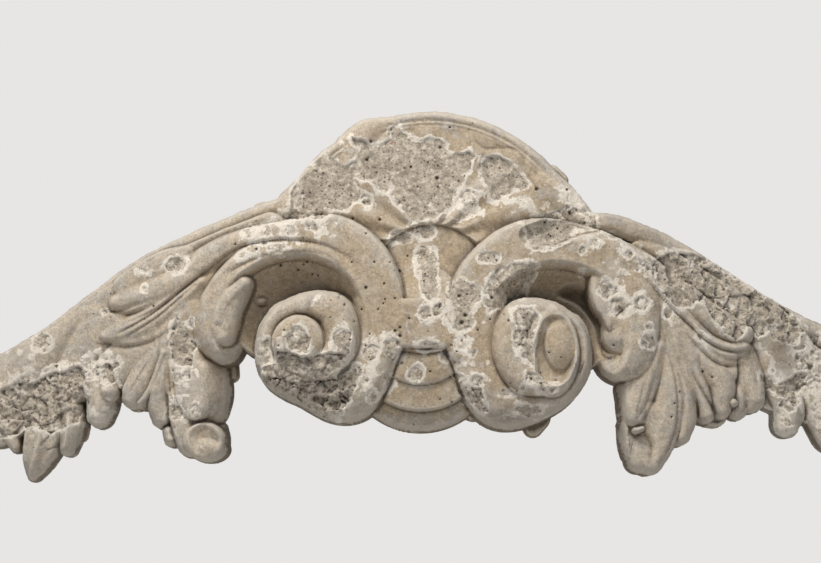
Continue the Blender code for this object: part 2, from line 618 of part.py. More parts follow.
def carve():
    relief = Relief(GRID)
    carve_bodies(relief)
    carve_crest(relief)
    carve_wedge(relief)
    carve_backs(relief)
    carve_left_arm(relief)
    carve_right_arm(relief)
    carve_left_leaf(relief)
    carve_right_leaves(relief)
    carve_left_end(relief)
    carve_left_band(relief)
    carve_right_band(relief)
    carve_mouldings(relief)
    carve_neck(relief)
    for eye, outward in ((LEFT_EYE, -1), (RIGHT_EYE, 1)):
        carve_cove(relief, eye, outward)
        carve_scroll(relief, eye, outward)
    carve_hubs(relief)
    carve_neck_edges(relief)
    carve_corners(relief)
    carve_left_tongue(relief)
    carve_leaf_tip(relief)
    carve_breaks(relief)
    return relief


def solid_mesh(relief):
    """Stand the relief on a backing, cut it flat along the wall and keep the one large body."""
    columns, rows = relief.x.shape
    shape = bmesh.new()
    bmesh.ops.create_grid(shape, x_segments=columns - 1, y_segments=rows - 1, size=0.5)
    for vertex in shape.verts:
        column = round((vertex.co.x + 0.5) * (columns - 1))
        row = round((vertex.co.y + 0.5) * (rows - 1))
        vertex.co = (
            relief.x[column, row] / 1000,
            -relief.height[column, row] / 1000,
            relief.z[column, row] / 1000,
        )
    border = [edge for edge in shape.edges if edge.is_boundary]
    pushed = bmesh.ops.extrude_edge_only(shape, edges=border)["geom"]
    for vertex in (piece for piece in pushed if isinstance(piece, bmesh.types.BMVert)):
        vertex.co.y = BACKING / 1000
    bmesh.ops.contextual_create(shape, geom=[edge for edge in shape.edges if edge.is_boundary])
    everything = shape.verts[:] + shape.edges[:] + shape.faces[:]
    cut = bmesh.ops.bisect_plane(
        shape, geom=everything, plane_co=(0, 0, 0), plane_no=(0, 1, 0), clear_outer=True
    )
    rim = [piece for piece in cut["geom_cut"] if isinstance(piece, bmesh.types.BMEdge)]
    bmesh.ops.holes_fill(shape, edges=rim)
    bmesh.ops.recalc_face_normals(shape, faces=shape.faces[:])
    return shape


def stone_material():
    stone = bpy.data.materials.new("stone")
    stone.use_nodes = True
    shader = stone.node_tree.nodes["Principled BSDF"]
    shader.inputs["Base Color"].default_value = (0.52, 0.47, 0.37, 1)
    shader.inputs["Roughness"].default_value = 0.9
    shader.inputs["Metallic"].default_value = 0.0
    return stone


def thinned(cartouche):
    """The same form in fewer triangles, with the back and both ends set true again."""
    triangles = sum(len(face.vertices) - 2 for face in cartouche.data.polygons)
    thin = cartouche.modifiers.new("thin", "DECIMATE")
    thin.use_collapse_triangulate = True
    thin.ratio = TRIANGLES / triangles
    evaluated = cartouche.evaluated_get(bpy.context.evaluated_depsgraph_get())
    mesh = bpy.data.meshes.new_from_object(evaluated)
    cartouche.modifiers.clear()
    for vertex in mesh.vertices:
        for axis, level in ((1, 0), (0, LEFT_END / 1000), (0, RIGHT_END / 1000)):
            if abs(vertex.co[axis] - level) < FLAT_TOLERANCE / 1000:
                vertex.co[axis] = level
    return mesh


def main():
    for thing in list(bpy.data.objects):
        bpy.data.objects.remove(thing)
    shape = solid_mesh(carve())
    mesh = bpy.data.meshes.new("cartouche")
    shape.to_mesh(mesh)
    shape.free()
    cartouche = bpy.data.objects.new("cartouche", mesh)
    bpy.context.collection.objects.link(cartouche)
    cartouche.data.materials.append(stone_material())
    cartouche.data = thinned(cartouche)
    cartouche.data.shade_smooth()
    print("cartouche:", len(cartouche.data.polygons), "triangles")


main()
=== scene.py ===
# %% [markdown]
# # A scrolled crest of pale cast stone
#
# The real object is one piece of cast stone that is fixed to a wall. A shell panel stands over two
# scrolls, and an acanthus arm runs down to each side. Its smooth ochre skin has flaked off in
# places, and the gritty grey stone shows there, with a white crust round each break.
#
# The whole front is a relief: seen from the wall, each place on it has one height. So this lesson
# carves a grid of heights, turns the grid into a closed body, and keeps notes on every vertex (how
# deep inside a break it lies, how sheltered it is) for the material to read.

import itertools
import json
import math

import bmesh
import bpy
import numpy as np
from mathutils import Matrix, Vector

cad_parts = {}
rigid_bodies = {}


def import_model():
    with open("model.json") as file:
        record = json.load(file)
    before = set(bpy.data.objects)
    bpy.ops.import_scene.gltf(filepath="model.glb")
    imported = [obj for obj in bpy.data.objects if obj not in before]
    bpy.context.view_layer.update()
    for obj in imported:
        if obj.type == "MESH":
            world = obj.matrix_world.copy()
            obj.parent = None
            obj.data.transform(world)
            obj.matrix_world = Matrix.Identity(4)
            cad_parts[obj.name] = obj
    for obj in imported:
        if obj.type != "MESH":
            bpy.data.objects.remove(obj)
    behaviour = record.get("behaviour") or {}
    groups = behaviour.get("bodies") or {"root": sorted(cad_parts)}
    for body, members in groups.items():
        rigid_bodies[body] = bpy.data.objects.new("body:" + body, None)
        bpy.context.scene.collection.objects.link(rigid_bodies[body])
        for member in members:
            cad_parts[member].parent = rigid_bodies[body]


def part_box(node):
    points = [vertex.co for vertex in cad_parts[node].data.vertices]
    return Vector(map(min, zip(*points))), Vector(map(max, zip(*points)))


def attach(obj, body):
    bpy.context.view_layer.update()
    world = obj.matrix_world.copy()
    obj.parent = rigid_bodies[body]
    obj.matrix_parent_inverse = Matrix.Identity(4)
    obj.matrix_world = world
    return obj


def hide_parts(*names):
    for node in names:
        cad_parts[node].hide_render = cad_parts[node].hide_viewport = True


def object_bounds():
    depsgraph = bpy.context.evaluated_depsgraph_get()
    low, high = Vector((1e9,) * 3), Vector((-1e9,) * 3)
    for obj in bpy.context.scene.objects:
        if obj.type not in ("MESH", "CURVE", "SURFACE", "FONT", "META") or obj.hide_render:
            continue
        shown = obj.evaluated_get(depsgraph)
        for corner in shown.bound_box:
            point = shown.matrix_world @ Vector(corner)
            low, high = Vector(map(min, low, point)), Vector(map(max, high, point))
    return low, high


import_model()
cad_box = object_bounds()
low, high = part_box("cartouche")
print("the crest is", [round(side, 3) for side in high - low], "m")

# %% [markdown]
# ## Camera, floor and lights
#
# The picture was taken from a little below, so the undersides of the scrolls show and the upper
# faces are foreshortened. A camera 2.37 m away that looks up by six degrees gives the same view.
# Wall pieces need no wall here: it would hide the back from the other cameras.

# %% Camera
PICTURE_WIDTH = 821
MM_PER_PIXEL = 1.22
CAMERA_DISTANCE = 2.37
CAMERA_RISE = math.radians(6)
AIM = Vector((-0.01647, -0.06, 0.07747))

camera = bpy.data.objects.new("camera", bpy.data.cameras.new("camera"))
camera.data.sensor_width = 36
camera.data.lens = 36 * CAMERA_DISTANCE / (PICTURE_WIDTH * MM_PER_PIXEL / 1000)
view = Vector((0, math.cos(CAMERA_RISE), math.sin(CAMERA_RISE)))
camera.location = AIM - CAMERA_DISTANCE * view
camera.rotation_euler = (math.pi / 2 + CAMERA_RISE, 0, 0)
bpy.context.scene.collection.objects.link(camera)
bpy.context.scene.camera = camera
print("camera at", [round(value, 3) for value in camera.location], "lens", round(camera.data.lens, 1))

# %% Floor, sky and lamps
FLOOR_LEVEL = -0.9

shape = bmesh.new()
bmesh.ops.create_grid(shape, x_segments=1, y_segments=1, size=6)
bmesh.ops.translate(shape, verts=shape.verts, vec=(0, 0, FLOOR_LEVEL))
floor_mesh = bpy.data.meshes.new("floor")
shape.to_mesh(floor_mesh)
shape.free()
floor = bpy.data.objects.new("floor", floor_mesh)
bpy.context.scene.collection.objects.link(floor)
floor_finish = bpy.data.materials.new("pale_floor")
floor_finish.use_nodes = True
floor_finish.node_tree.nodes["Principled BSDF"].inputs["Base Color"].default_value = (0.72, 0.71, 0.69, 1)
floor_finish.node_tree.nodes["Principled BSDF"].inputs["Roughness"].default_value = 0.8
floor.data.materials.append(floor_finish)

world = bpy.data.worlds.new("pale_sky")
bpy.context.scene.world = world
world.use_nodes = True
sky = world.node_tree
sky_light = sky.nodes["Background"]
sky_light.inputs["Color"].default_value = (0.86, 0.90, 1.0, 1)
sky_light.inputs["Strength"].default_value = 0.34
sky_seen = sky.nodes.new("ShaderNodeBackground")
sky_seen.inputs["Color"].default_value = (0.80, 0.79, 0.775, 1)
either = sky.nodes.new("ShaderNodeMixShader")
sky.links.new(sky.nodes.new("ShaderNodeLightPath").outputs["Is Camera Ray"], either.inputs[0])
sky.links.new(sky_light.outputs[0], either.inputs[1])
sky.links.new(sky_seen.outputs[0], either.inputs[2])
sky.links.new(either.outputs[0], sky.nodes["World Output"].inputs["Surface"])


def add_lamp(name, place, size, watts, colour):
    """A square soft lamp that points at the crest."""
    lamp = bpy.data.objects.new(name, bpy.data.lights.new(name, "AREA"))
    lamp.data.size = size
    lamp.data.energy = watts
    lamp.data.color = colour
    lamp.location = place
    lamp.rotation_euler = (AIM - Vector(place)).to_track_quat("-Z", "Y").to_euler()
    bpy.context.scene.collection.objects.link(lamp)


add_lamp("key", (-0.50, -1.15, 2.00), 0.9, 55, (1.0, 0.955, 0.90))
add_lamp("fill", (-0.2, -2.2, 1.5), 1.4, 16, (1.0, 0.97, 0.94))
bpy.context.scene.view_settings.view_transform = "Standard"

# %% [markdown]
# ## The sizes that drive the carving
#
# All sizes in these cells are in millimetres, and heights are measured out from the wall. They are
# the sizes that the solid was made from, on a finer grid, so the carving lies where the solid does.

# %% Sizes
LEFT_END = -532
RIGHT_END = 498
LOWEST = -185
HIGHEST = 295
GRID = 1.25
SHARPEN = 0.5
SHARPEN_WIDTH = 3.5
SHARPEN_LIMIT = 3.0
SHOULDER_SLOPE = 4.0
SHOULDER = 3.0
WALL_SLOPE = 24.0
GROUND = -45.0
BACKING = 60.0
BLEND = 4.0
# The crest is half an ellipse, with a rim, a sunk panel and a fan of shell flutes.
CREST_CENTRE = (7, 67)
CREST_HALF_WIDTH = 207
CREST_HALF_HEIGHT = 220
CREST_RIM = 63
CREST_PANEL = 61
RIM_WIDTH = 8
SHELL_CENTRE = (7, 128)
FLUTE_ANGLE = 23
FLUTE_DEPTH = 3.6
FLUTE_REACH = 120
RIM_LINES = ((10, 1.2), (15, 0.9))

# A scroll band is given by one row for each eighth of a turn, from the eighth above the side that
# faces the centre line, down and round to the eye: the distance from the eye to its inner edge and
# to its outer edge. The left scroll has the key -1 and the right one has 1.
SCROLL_EDGES = {
    -1: (
        (92, 142), (58, 113), (44, 112), (36, 70), (34, 64), (30, 56), (30, 55),
        (30, 58), (28, 72), (23, 66), (22, 54), (20, 43), (20, 40), (18, 33),
    ),
    1: (
        (86, 142), (56, 122), (54, 115), (42, 73), (30, 54), (25, 46), (26, 48),
        (30, 55), (28, 72), (23, 71), (24, 68), (24, 54), (22, 38), (18, 26),
    ),
}
SCROLL_START = 99
SCROLL_RISE = 2.5
# The cove over each scroll: the eighth, how far out its lip lies, and the height of its floor.
# Each cove is cut into a ground of one level, and its sides would all reach the same brim on average.
COVE_LIPS = {
    -1: ((4.4, 78, 66), (5, 97, 54), (6, 104, 42), (7, 100, 46), (8, 88, 66), (9, 76, 88), (9.6, 67, 99)),
    1: ((4.2, 76, 60), (5, 84, 50), (6, 96, 36), (7, 97, 42), (8, 90, 62), (9, 76, 86), (9.8, 72, 98)),
}
COVE_GROUND = 92
COVE_BRIM = 102
LEFT_EYE = (-145, 0)
RIGHT_EYE = (153, -7)
HUB_CROWN = 128

# The neck: three tongues, one under the other, each with its centre, half sizes, crown and drop.
NECK_TONGUES = (
    ((-4, 2), (98, 103), 78, 18),
    ((-4, -8), (78, 72), 84, 4),
    ((-4, -8), (54, 41), 91, 4),
)
KNOT_LEVEL = 20
WEDGE_CENTRE = (9, 76)
WEDGE_REACH = 70
WEDGE_FLOOR = 54

# %% [markdown]
# ## The carver's tools
#
# A lobe raises a rounded ridge along a line, a hollow cuts a rounded trough, a crease presses in a
# fine line and a dome raises a boss. Where two forms meet, the higher one wins and the corner
# between them is filleted, as plaster fills the corner of a mould.

# %% The relief and its tools
class Relief:
    """Heights above the wall on an even grid, with the carving tools that shape them."""

    def __init__(self, spacing):
        across = np.linspace(LEFT_END, RIGHT_END, round((RIGHT_END - LEFT_END) / spacing) + 1)
        up = np.linspace(LOWEST, HIGHEST, round((HIGHEST - LOWEST) / spacing) + 1)
        self.x, self.z = np.meshgrid(across, up, indexing="ij")
        self.height = np.full(self.x.shape, GROUND)

    def window(self, line, reach):
        """The part of the grid within reach of a line of points."""
        low = line[:, :2].min(axis=0) - reach
        high = line[:, :2].max(axis=0) + reach
        columns = slice(*np.searchsorted(self.x[:, 0], (low[0], high[0])))
        rows = slice(*np.searchsorted(self.z[0], (low[1], high[1])))
        return columns, rows

    def nearest(self, line, window):
        """For each grid point: the row of the line that holds it best, its distance and its side."""
        x, z = self.x[window], self.z[window]
        best = np.full(x.shape, -np.inf)
        found = np.zeros(x.shape, int)
        for index, (px, pz, width) in enumerate(line[:, :3]):
            inside = width - np.hypot(x - px, z - pz)
            closer = inside > best
            best[closer] = inside[closer]
            found[closer] = index
        heading = np.gradient(line[:, :2], axis=0)[found]
        away = np.stack((x, z), axis=-1) - line[found, :2]
        side = np.sign(heading[..., 0] * away[..., 1] - heading[..., 1] * away[..., 0])
        return best, found, side

    def lobe(self, rows, drop=10.0, fullness=2.4, blend=BLEND):
        """Raise a rounded lobe along rows of x, z, half width and crown height."""
        line = spline(rows)
        window = self.window(line, line[:, 2].max() + 20)
        inside, found, _ = self.nearest(line, window)
        width = line[found, 2]
        out = np.clip(1 - inside / width, 0, None)
        rise = line[found, 3] - drop * np.minimum(out, 1) ** fullness
        self.height[window] = smooth_max(self.height[window], rise - fall(-inside), blend)

    def hollow(self, rows, rise, fullness=2.0, blend=6.0):
        """Cut a rounded trough along rows of x, z, half width and floor height."""
        line = spline(rows)
        window = self.window(line, line[:, 2].max() + 20)
        inside, found, _ = self.nearest(line, window)
        out = np.clip(1 - inside / line[found, 2], 0, 1)
        floor = line[found, 3] + rise * out**fullness + SHOULDER_SLOPE * np.maximum(-inside, 0)
        self.height[window] = -smooth_max(-self.height[window], -floor, blend)

    def crease(self, rows, left=3.0, right=3.0):
        """Press in a line along rows of x, z and depth, with its own run-out on each side."""
        line = spline(rows)
        window = self.window(line, 4 * max(left, right))
        flat = line.copy()
        flat[:, 2] = 0
        inside, found, side = self.nearest(flat, window)
        reach = np.where(side > 0, left, right)
        self.height[window] -= line[found, 2] * np.exp(-((-inside / reach) ** 1.4))

    def dome(self, centre, halves, crown, drop=8.0, fullness=2.4, blend=BLEND, below=HIGHEST):
        """Raise an elliptical boss, or the part of one that lies below a level."""
        across, up = self.x - centre[0], self.z - centre[1]
        out = np.hypot(across / halves[0], up / halves[1])
        inside = (1 - out) * min(halves)
        rise = crown - drop * np.minimum(out, 1) ** fullness - fall(-inside)
        rise[self.z > below] = GROUND
        self.height = smooth_max(self.height, rise, blend)


def spline(rows):
    """A smooth curve through rows of numbers, about two millimetres between its points."""
    rows = np.array(rows, float)
    ends = np.vstack((2 * rows[0] - rows[1], rows, 2 * rows[-1] - rows[-2]))
    length = np.hypot(*np.diff(rows[:, :2], axis=0).T).sum()
    place = np.linspace(0, len(rows) - 1, max(8, round(length / 2)))
    start = np.minimum(place.astype(int), len(rows) - 2)
    t = (place - start)[:, None]
    a, b, c, d = (ends[start + step] for step in range(4))
    return b + (c - a + (2 * a - 5 * b + 4 * c - d + (3 * b - a - 3 * c + d) * t) * t) * t / 2


def fall(beyond):
    """How far an edge has dropped at a distance beyond it: a worn shoulder, then the wall."""
    beyond = np.maximum(beyond, 0)
    return SHOULDER_SLOPE * np.minimum(beyond, SHOULDER) + WALL_SLOPE * np.maximum(beyond - SHOULDER, 0)


def smooth_max(one, other, blend):
    """The greater of two heights, with the corner between them filleted."""
    overlap = np.maximum(blend - np.abs(one - other), 0)
    return np.maximum(one, other) + overlap**2 / (4 * blend)

# %% [markdown]
# ## The form, one part of the ornament at a time
#
# Rows are x, z, half width and height. The low masses come first and the scrolls last, because each
# form is joined to what already stands there.

# %% The crest and the wedge
def carve_crest(relief):
    """The domed panel above the scrolls: a rim, a shell with flutes, and a lobe on each flank."""
    across = (relief.x - CREST_CENTRE[0]) / CREST_HALF_WIDTH
    up = (relief.z - CREST_CENTRE[1]) / CREST_HALF_HEIGHT
    inside = (1 - np.hypot(across, up)) * CREST_HALF_WIDTH
    angle = np.degrees(np.arctan2(relief.z - SHELL_CENTRE[1], relief.x - SHELL_CENTRE[0])) - 90
    reach = np.hypot(relief.x - SHELL_CENTRE[0], relief.z - SHELL_CENTRE[1]) / FLUTE_REACH
    flute = FLUTE_DEPTH * np.cos(np.pi * angle / FLUTE_ANGLE) ** 2 * np.clip(1.7 - reach, 0.15, 1)
    panel = CREST_PANEL + flute * np.clip((inside - RIM_WIDTH) / 12, 0, 1)
    rim = CREST_RIM - 5 * np.clip(1 - inside / 6, 0, 1) ** 2
    for place, depth in RIM_LINES:
        rim -= depth * np.exp(-(((inside - place) / 1.4) ** 2))
    rise = panel + (rim - panel) * np.clip((RIM_WIDTH + 12 - inside) / 5, 0, 1)
    rise -= fall(-inside)
    rise[relief.z < CREST_CENTRE[1] - 60] = GROUND
    relief.height = smooth_max(relief.height, rise, BLEND)
    relief.lobe([(152, 197, 18, 66), (171, 181, 16, 66), (193, 157, 13, 66)], drop=5)
    relief.lobe([(-148, 193, 13, 64), (-165, 175, 13, 64)], drop=5)


def carve_wedge(relief):
    """The plain wedge between the two bands, sunk under a round edge of the shell."""
    out = np.hypot(relief.x - WEDGE_CENTRE[0], relief.z - WEDGE_CENTRE[1]) - WEDGE_REACH
    floor = WEDGE_FLOOR + 3 * np.maximum(out, 0)
    relief.height = -smooth_max(-relief.height, -floor, 1.5)
    relief.lobe([(9, 121, 54, 58), (7, 100, 41, 68), (7, 77, 31, 82), (6, 55, 26, 97)], drop=0, blend=1)

# %% The low masses
def carve_bodies(relief):
    """The low masses under the leaves, down to both square ends."""
    relief.lobe(
        [(-540, -66, 49, 28), (-471, -46, 47, 34), (-409, -5, 49, 40), (-348, 29, 49, 47),
         (-286, 65, 44, 54), (-225, 102, 42, 58), (-152, 131, 37, 58), (-78, 141, 37, 58)], drop=4
    )
    relief.lobe(
        [(81, 135, 37, 58), (142, 129, 37, 58), (215, 102, 39, 58), (276, 55, 49, 54),
         (338, 19, 46, 48), (399, -15, 44, 41), (461, -41, 47, 35), (511, -56, 47, 32)], drop=4
    )
    relief.lobe([(0, 101, 61, 60), (0, 6, 68, 62)], drop=4)
    relief.lobe([(-212, 60, 32, 56), (-200, 29, 10, 50)], drop=4)
    relief.lobe([(203, 55, 32, 56), (208, 13, 10, 50), (215, -13, 7, 46)], drop=4)
    relief.lobe(
        [(-401, 29, 27, 50), (-359, 58, 27, 57), (-309, 88, 22, 66), (-254, 117, 17, 77),
         (-187, 143, 16, 84)], drop=4, blend=8
    )
    relief.lobe([(-427, -30, 22, 48), (-405, 0, 27, 53), (-370, 12, 29, 61)], drop=4, blend=8)
    relief.lobe(
        [(-253, 71, 36, 81), (-295, 32, 36, 74), (-338, -4, 34, 67),
         (-374, -28, 24, 60)], drop=5, blend=8
    )
    relief.lobe(
        [(263, 115, 12, 67), (290, 101, 19, 67), (330, 74, 22, 62),
         (379, 45, 22, 57)], drop=4, blend=8
    )
    relief.lobe(
        [(236, 82, 29, 89), (273, 47, 34, 82), (307, 11, 34, 76),
         (334, -21, 31, 68)], drop=5, blend=8
    )
    relief.lobe(
        [(386, 49, 27, 53), (429, 13, 32, 50), (459, -24, 32, 46),
         (509, -48, 29, 41)], drop=4, blend=8
    )

# %% The left arm
def carve_left_arm(relief):
    """The plain upper edge of the left arm, and the leaf pods that lie along it."""
    relief.lobe(
        [(-534, -35, 16, 37), (-462, 6, 15, 43), (-409, 45, 15, 48), (-352, 86, 15, 54),
         (-303, 113, 15, 59), (-249, 136, 15, 65), (-201, 157, 13, 68), (-156, 171, 13, 68)], drop=6
    )
    relief.lobe(
        [(-533, -64, 32, 40), (-487, -36, 29, 45), (-447, 1, 23, 49),
         (-406, 36, 15, 51)], drop=7, blend=6
    )
    relief.lobe(
        [(-364, 72, 15, 55), (-341, 84, 17, 63), (-315, 98, 16, 70),
         (-292, 107, 12, 72)], drop=3, blend=14
    )
    relief.lobe(
        [(-388, 11, 9, 63), (-369, 15, 15, 67), (-337, 27, 19, 72), (-305, 49, 18, 78),
         (-271, 77, 13, 83)], drop=11, fullness=2.4, blend=3
    )
    relief.lobe(
        [(-372, 51, 13, 65), (-354, 54, 17, 70), (-332, 61, 18, 74), (-298, 77, 17, 80),
         (-265, 101, 18, 86), (-222, 121, 17, 93), (-168, 135, 14, 95), (-119, 134, 18, 96),
         (-87, 114, 22, 98)], drop=10, fullness=2.6, blend=3
    )
    relief.lobe(
        [(-320, -5, 10, 71), (-334, -28, 15, 71), (-347, -51, 16, 71),
         (-354, -64, 11, 68)], drop=9, blend=3
    )
    relief.lobe(
        [(-316, -10, 4, 74), (-325, -39, 4, 74), (-334, -59, 5, 71),
         (-344, -70, 4, 68)], drop=5, blend=1
    )
    relief.lobe([(-281, 35, 19, 78), (-307, 3, 19, 73)], drop=6, blend=8)


def carve_left_leaf(relief):
    """The leaf that hangs beside the left scroll, with its curled tip."""
    relief.lobe(
        [(-292, -1, 27, 73), (-287, -41, 29, 73), (-282, -61, 24, 72),
         (-290, -89, 17, 68)], drop=5, blend=8
    )
    relief.lobe(
        [(-287, -10, 18, 77), (-282, -34, 19, 81), (-280, -56, 20, 83),
         (-276, -74, 17, 84)], drop=6, fullness=3, blend=6
    )
    relief.lobe(
        [(-267, -29, 24, 81), (-266, -56, 26, 83),
         (-268, -74, 24, 83)], drop=30, fullness=1.5, blend=6
    )
    relief.lobe(
        [(-313, -17, 8, 72), (-321, -49, 12, 74), (-322, -70, 12, 73),
         (-319, -88, 10, 70)], drop=10, blend=2
    )
    relief.lobe([(-310, -105, 6, 65), (-308, -114, 6, 64)], drop=6)
    relief.lobe([(-292, -65, 16, 79), (-291, -94, 14, 77), (-284, -119, 13, 75)], drop=7, blend=8)
    relief.lobe([(-250, -100, 4, 41), (-248, -115, 5, 41), (-252, -128, 5, 39)], drop=2)
    relief.dome((-267, -116), (22, 20), 86, drop=8, fullness=3, blend=5)
    relief.hollow([(-263, -110, 19, 72), (-251, -122, 26, 70)], rise=9, fullness=2.2, blend=4)
    relief.dome((-263, -126), (17, 12), 80, drop=6, fullness=2, blend=6)


def carve_left_end(relief):
    """The broken leaf tips at the left end."""
    relief.lobe([(-444, -48, 27, 47), (-404, -40, 19, 56), (-389, -33, 15, 59)], drop=4, blend=8)
    relief.lobe([(-391, -28, 11, 60), (-384, -55, 11, 65)], drop=10, blend=3)
    relief.lobe(
        [(-404, -36, 15, 56), (-396, -65, 16, 62),
         (-398, -85, 12, 61)], drop=13, fullness=1.7, blend=10
    )
    relief.lobe(
        [(-444, -52, 22, 47), (-433, -81, 15, 53), (-434, -107, 11, 55),
         (-437, -125, 7, 53)], drop=13, fullness=1.3, blend=3
    )
    relief.lobe(
        [(-453, -72, 12, 46), (-452, -103, 11, 47), (-455, -122, 9, 45),
         (-464, -142, 6, 41)], drop=8, blend=3
    )
    relief.lobe(
        [(-476, -57, 24, 46), (-467, -91, 21, 51), (-468, -115, 21, 53), (-474, -139, 15, 52),
         (-479, -157, 6, 48)], drop=17, fullness=1.1, blend=2
    )
    relief.lobe([(-508, -81, 29, 39), (-507, -106, 11, 39), (-501, -123, 5, 36)], drop=6, blend=4)
    relief.lobe([(-536, -88, 24, 34), (-524, -98, 24, 35)], drop=6)
    relief.lobe([(-389, -68, 9, 33), (-390, -79, 7, 28)], drop=6)
    relief.lobe([(-425, -98, 9, 22), (-423, -109, 5, 19)], drop=5)
    relief.crease([(-416, 41, 0), (-432, 13, 6), (-444, -12, 7), (-454, -36, 5)], left=7, right=14)

# %% The right arm
def carve_right_arm(relief):
    """The plain upper edge of the right arm, and the two pods that lie along it."""
    relief.lobe(
        [(196, 152, 11, 68), (239, 145, 12, 67), (282, 128, 13, 62), (325, 105, 13, 57),
         (367, 79, 13, 52), (412, 51, 13, 47), (461, 24, 13, 42), (506, 4, 13, 38)], drop=6
    )
    relief.lobe(
        [(182, 124, 11, 92), (224, 117, 12, 91), (261, 100, 15, 85), (291, 76, 17, 80),
         (322, 52, 18, 76), (352, 30, 18, 73), (379, 16, 16, 69),
         (388, 13, 13, 67)], drop=10, fullness=2.4, blend=3
    )
    relief.lobe(
        [(288, 53, 7, 77), (321, 22, 10, 76), (348, 1, 11, 74), (370, -7, 11, 71),
         (386, -3, 11, 67)], drop=9, fullness=2.2, blend=3
    )


def carve_right_leaves(relief):
    """The fan of leaves that hangs from the right arm."""
    relief.lobe([(252, -53, 12, 70), (254, -72, 11, 71), (255, -89, 10, 71)], drop=6, blend=8)
    relief.lobe([(255, -49, 11, 81), (254, -73, 11, 83), (255, -89, 10, 81)], drop=6, blend=8)
    relief.lobe([(251, -97, 8, 64), (251, -118, 7, 64), (253, -132, 6, 64)], drop=2)
    relief.lobe([(299, 5, 36, 76), (299, -50, 27, 76), (294, -86, 22, 74)], drop=5, blend=8)
    relief.lobe([(349, -1, 29, 67), (356, -33, 24, 66)], drop=5, blend=8)
    relief.lobe([(274, -82, 12, 78), (269, -101, 11, 75)], drop=5, blend=8)
    relief.lobe([(351, -82, 13, 45), (358, -85, 11, 44)], drop=4)
    relief.lobe(
        [(299, -1, 14, 77), (298, -50, 17, 79), (293, -86, 19, 80), (283, -118, 18, 79),
         (273, -140, 14, 77)], drop=8, fullness=2.4, blend=5
    )
    relief.lobe(
        [(284, -2, 8, 80), (270, -37, 14, 85), (260, -66, 14, 86),
         (255, -85, 10, 84)], drop=9, fullness=2.0, blend=10
    )
    relief.lobe(
        [(267, -116, 13, 73), (263, -129, 12, 76),
         (263, -140, 12, 74)], drop=9, fullness=2.4, blend=4
    )
    relief.lobe([(246, -101, 1, 66), (246, -115, 1, 66), (248, -130, 1, 66)], drop=2, blend=1)
    relief.lobe(
        [(317, -19, 12, 74), (317, -62, 13, 76), (315, -89, 13, 74),
         (310, -108, 11, 72)], drop=8, blend=5
    )
    relief.lobe(
        [(319, -1, 10, 75), (328, -38, 11, 75), (337, -62, 10, 74),
         (343, -84, 8, 71)], drop=9, blend=4
    )
    relief.lobe(
        [(330, 7, 12, 74), (346, -24, 16, 73), (361, -48, 16, 72),
         (360, -77, 11, 69)], drop=9, blend=3
    )
    relief.lobe([(384, -9, 19, 59), (397, -38, 17, 59), (399, -63, 16, 59)], drop=9, blend=4)
    relief.lobe([(389, -40, 11, 58), (384, -63, 12, 59), (384, -77, 10, 58)], drop=9, blend=3)
    relief.lobe(
        [(419, -20, 17, 52), (436, -50, 18, 53), (448, -76, 17, 54),
         (445, -96, 13, 52)], drop=12, fullness=2.2, blend=4
    )
    relief.lobe([(465, -30, 22, 47), (487, -70, 24, 47), (507, -103, 27, 44)], drop=12, blend=4)
    relief.lobe([(374, -70, 4, 70), (378, -71, 2, 68)], drop=4, blend=1)
    relief.lobe([(255, -104, 2, 86), (262, -102, 2, 85)], drop=3, blend=1)

# %% The bands
def carve_left_band(relief):
    """The band that rises from the left arm, rolls over the cove and runs into the scroll."""
    relief.lobe(
        [(-253, 52, 17, 88), (-231, 81, 18, 94), (-195, 106, 23, 96), (-149, 119, 32, 97),
         (-111, 113, 41, 98), (-81, 91, 40, 99), (-60, 53, 35, 100),
         (-54, 9, 32, 101)], drop=6, fullness=7, blend=2
    )
    relief.lobe(
        [(-202, 93, 14, 93), (-229, 71, 22, 95), (-246, 42, 29, 94), (-249, 15, 29, 94),
         (-246, -1, 20, 93)], drop=18, fullness=3, blend=7
    )
    relief.lobe(
        [(-123, 79, 14, 95), (-104, 68, 17, 97), (-90, 49, 17, 99),
         (-86, 25, 14, 100)], drop=4, blend=8
    )


def carve_right_band(relief):
    """The band that rises from the right arm, rolls over the cove and runs into the scroll."""
    relief.lobe(
        [(299, 34, 19, 79), (272, 65, 24, 85), (242, 89, 28, 92), (206, 106, 31, 96),
         (157, 115, 34, 97), (118, 107, 38, 98), (81, 73, 40, 99), (62, 34, 34, 100),
         (57, 3, 31, 101)], drop=6, fullness=7, blend=2
    )
    relief.lobe([(226, 21, 18, 84), (226, 2, 17, 85), (233, -13, 16, 87)], drop=8, blend=14)
    relief.lobe(
        [(257, 64, 26, 91), (254, 32, 29, 94), (249, 6, 31, 96),
         (244, -12, 30, 95)], drop=13, fullness=3, blend=12
    )


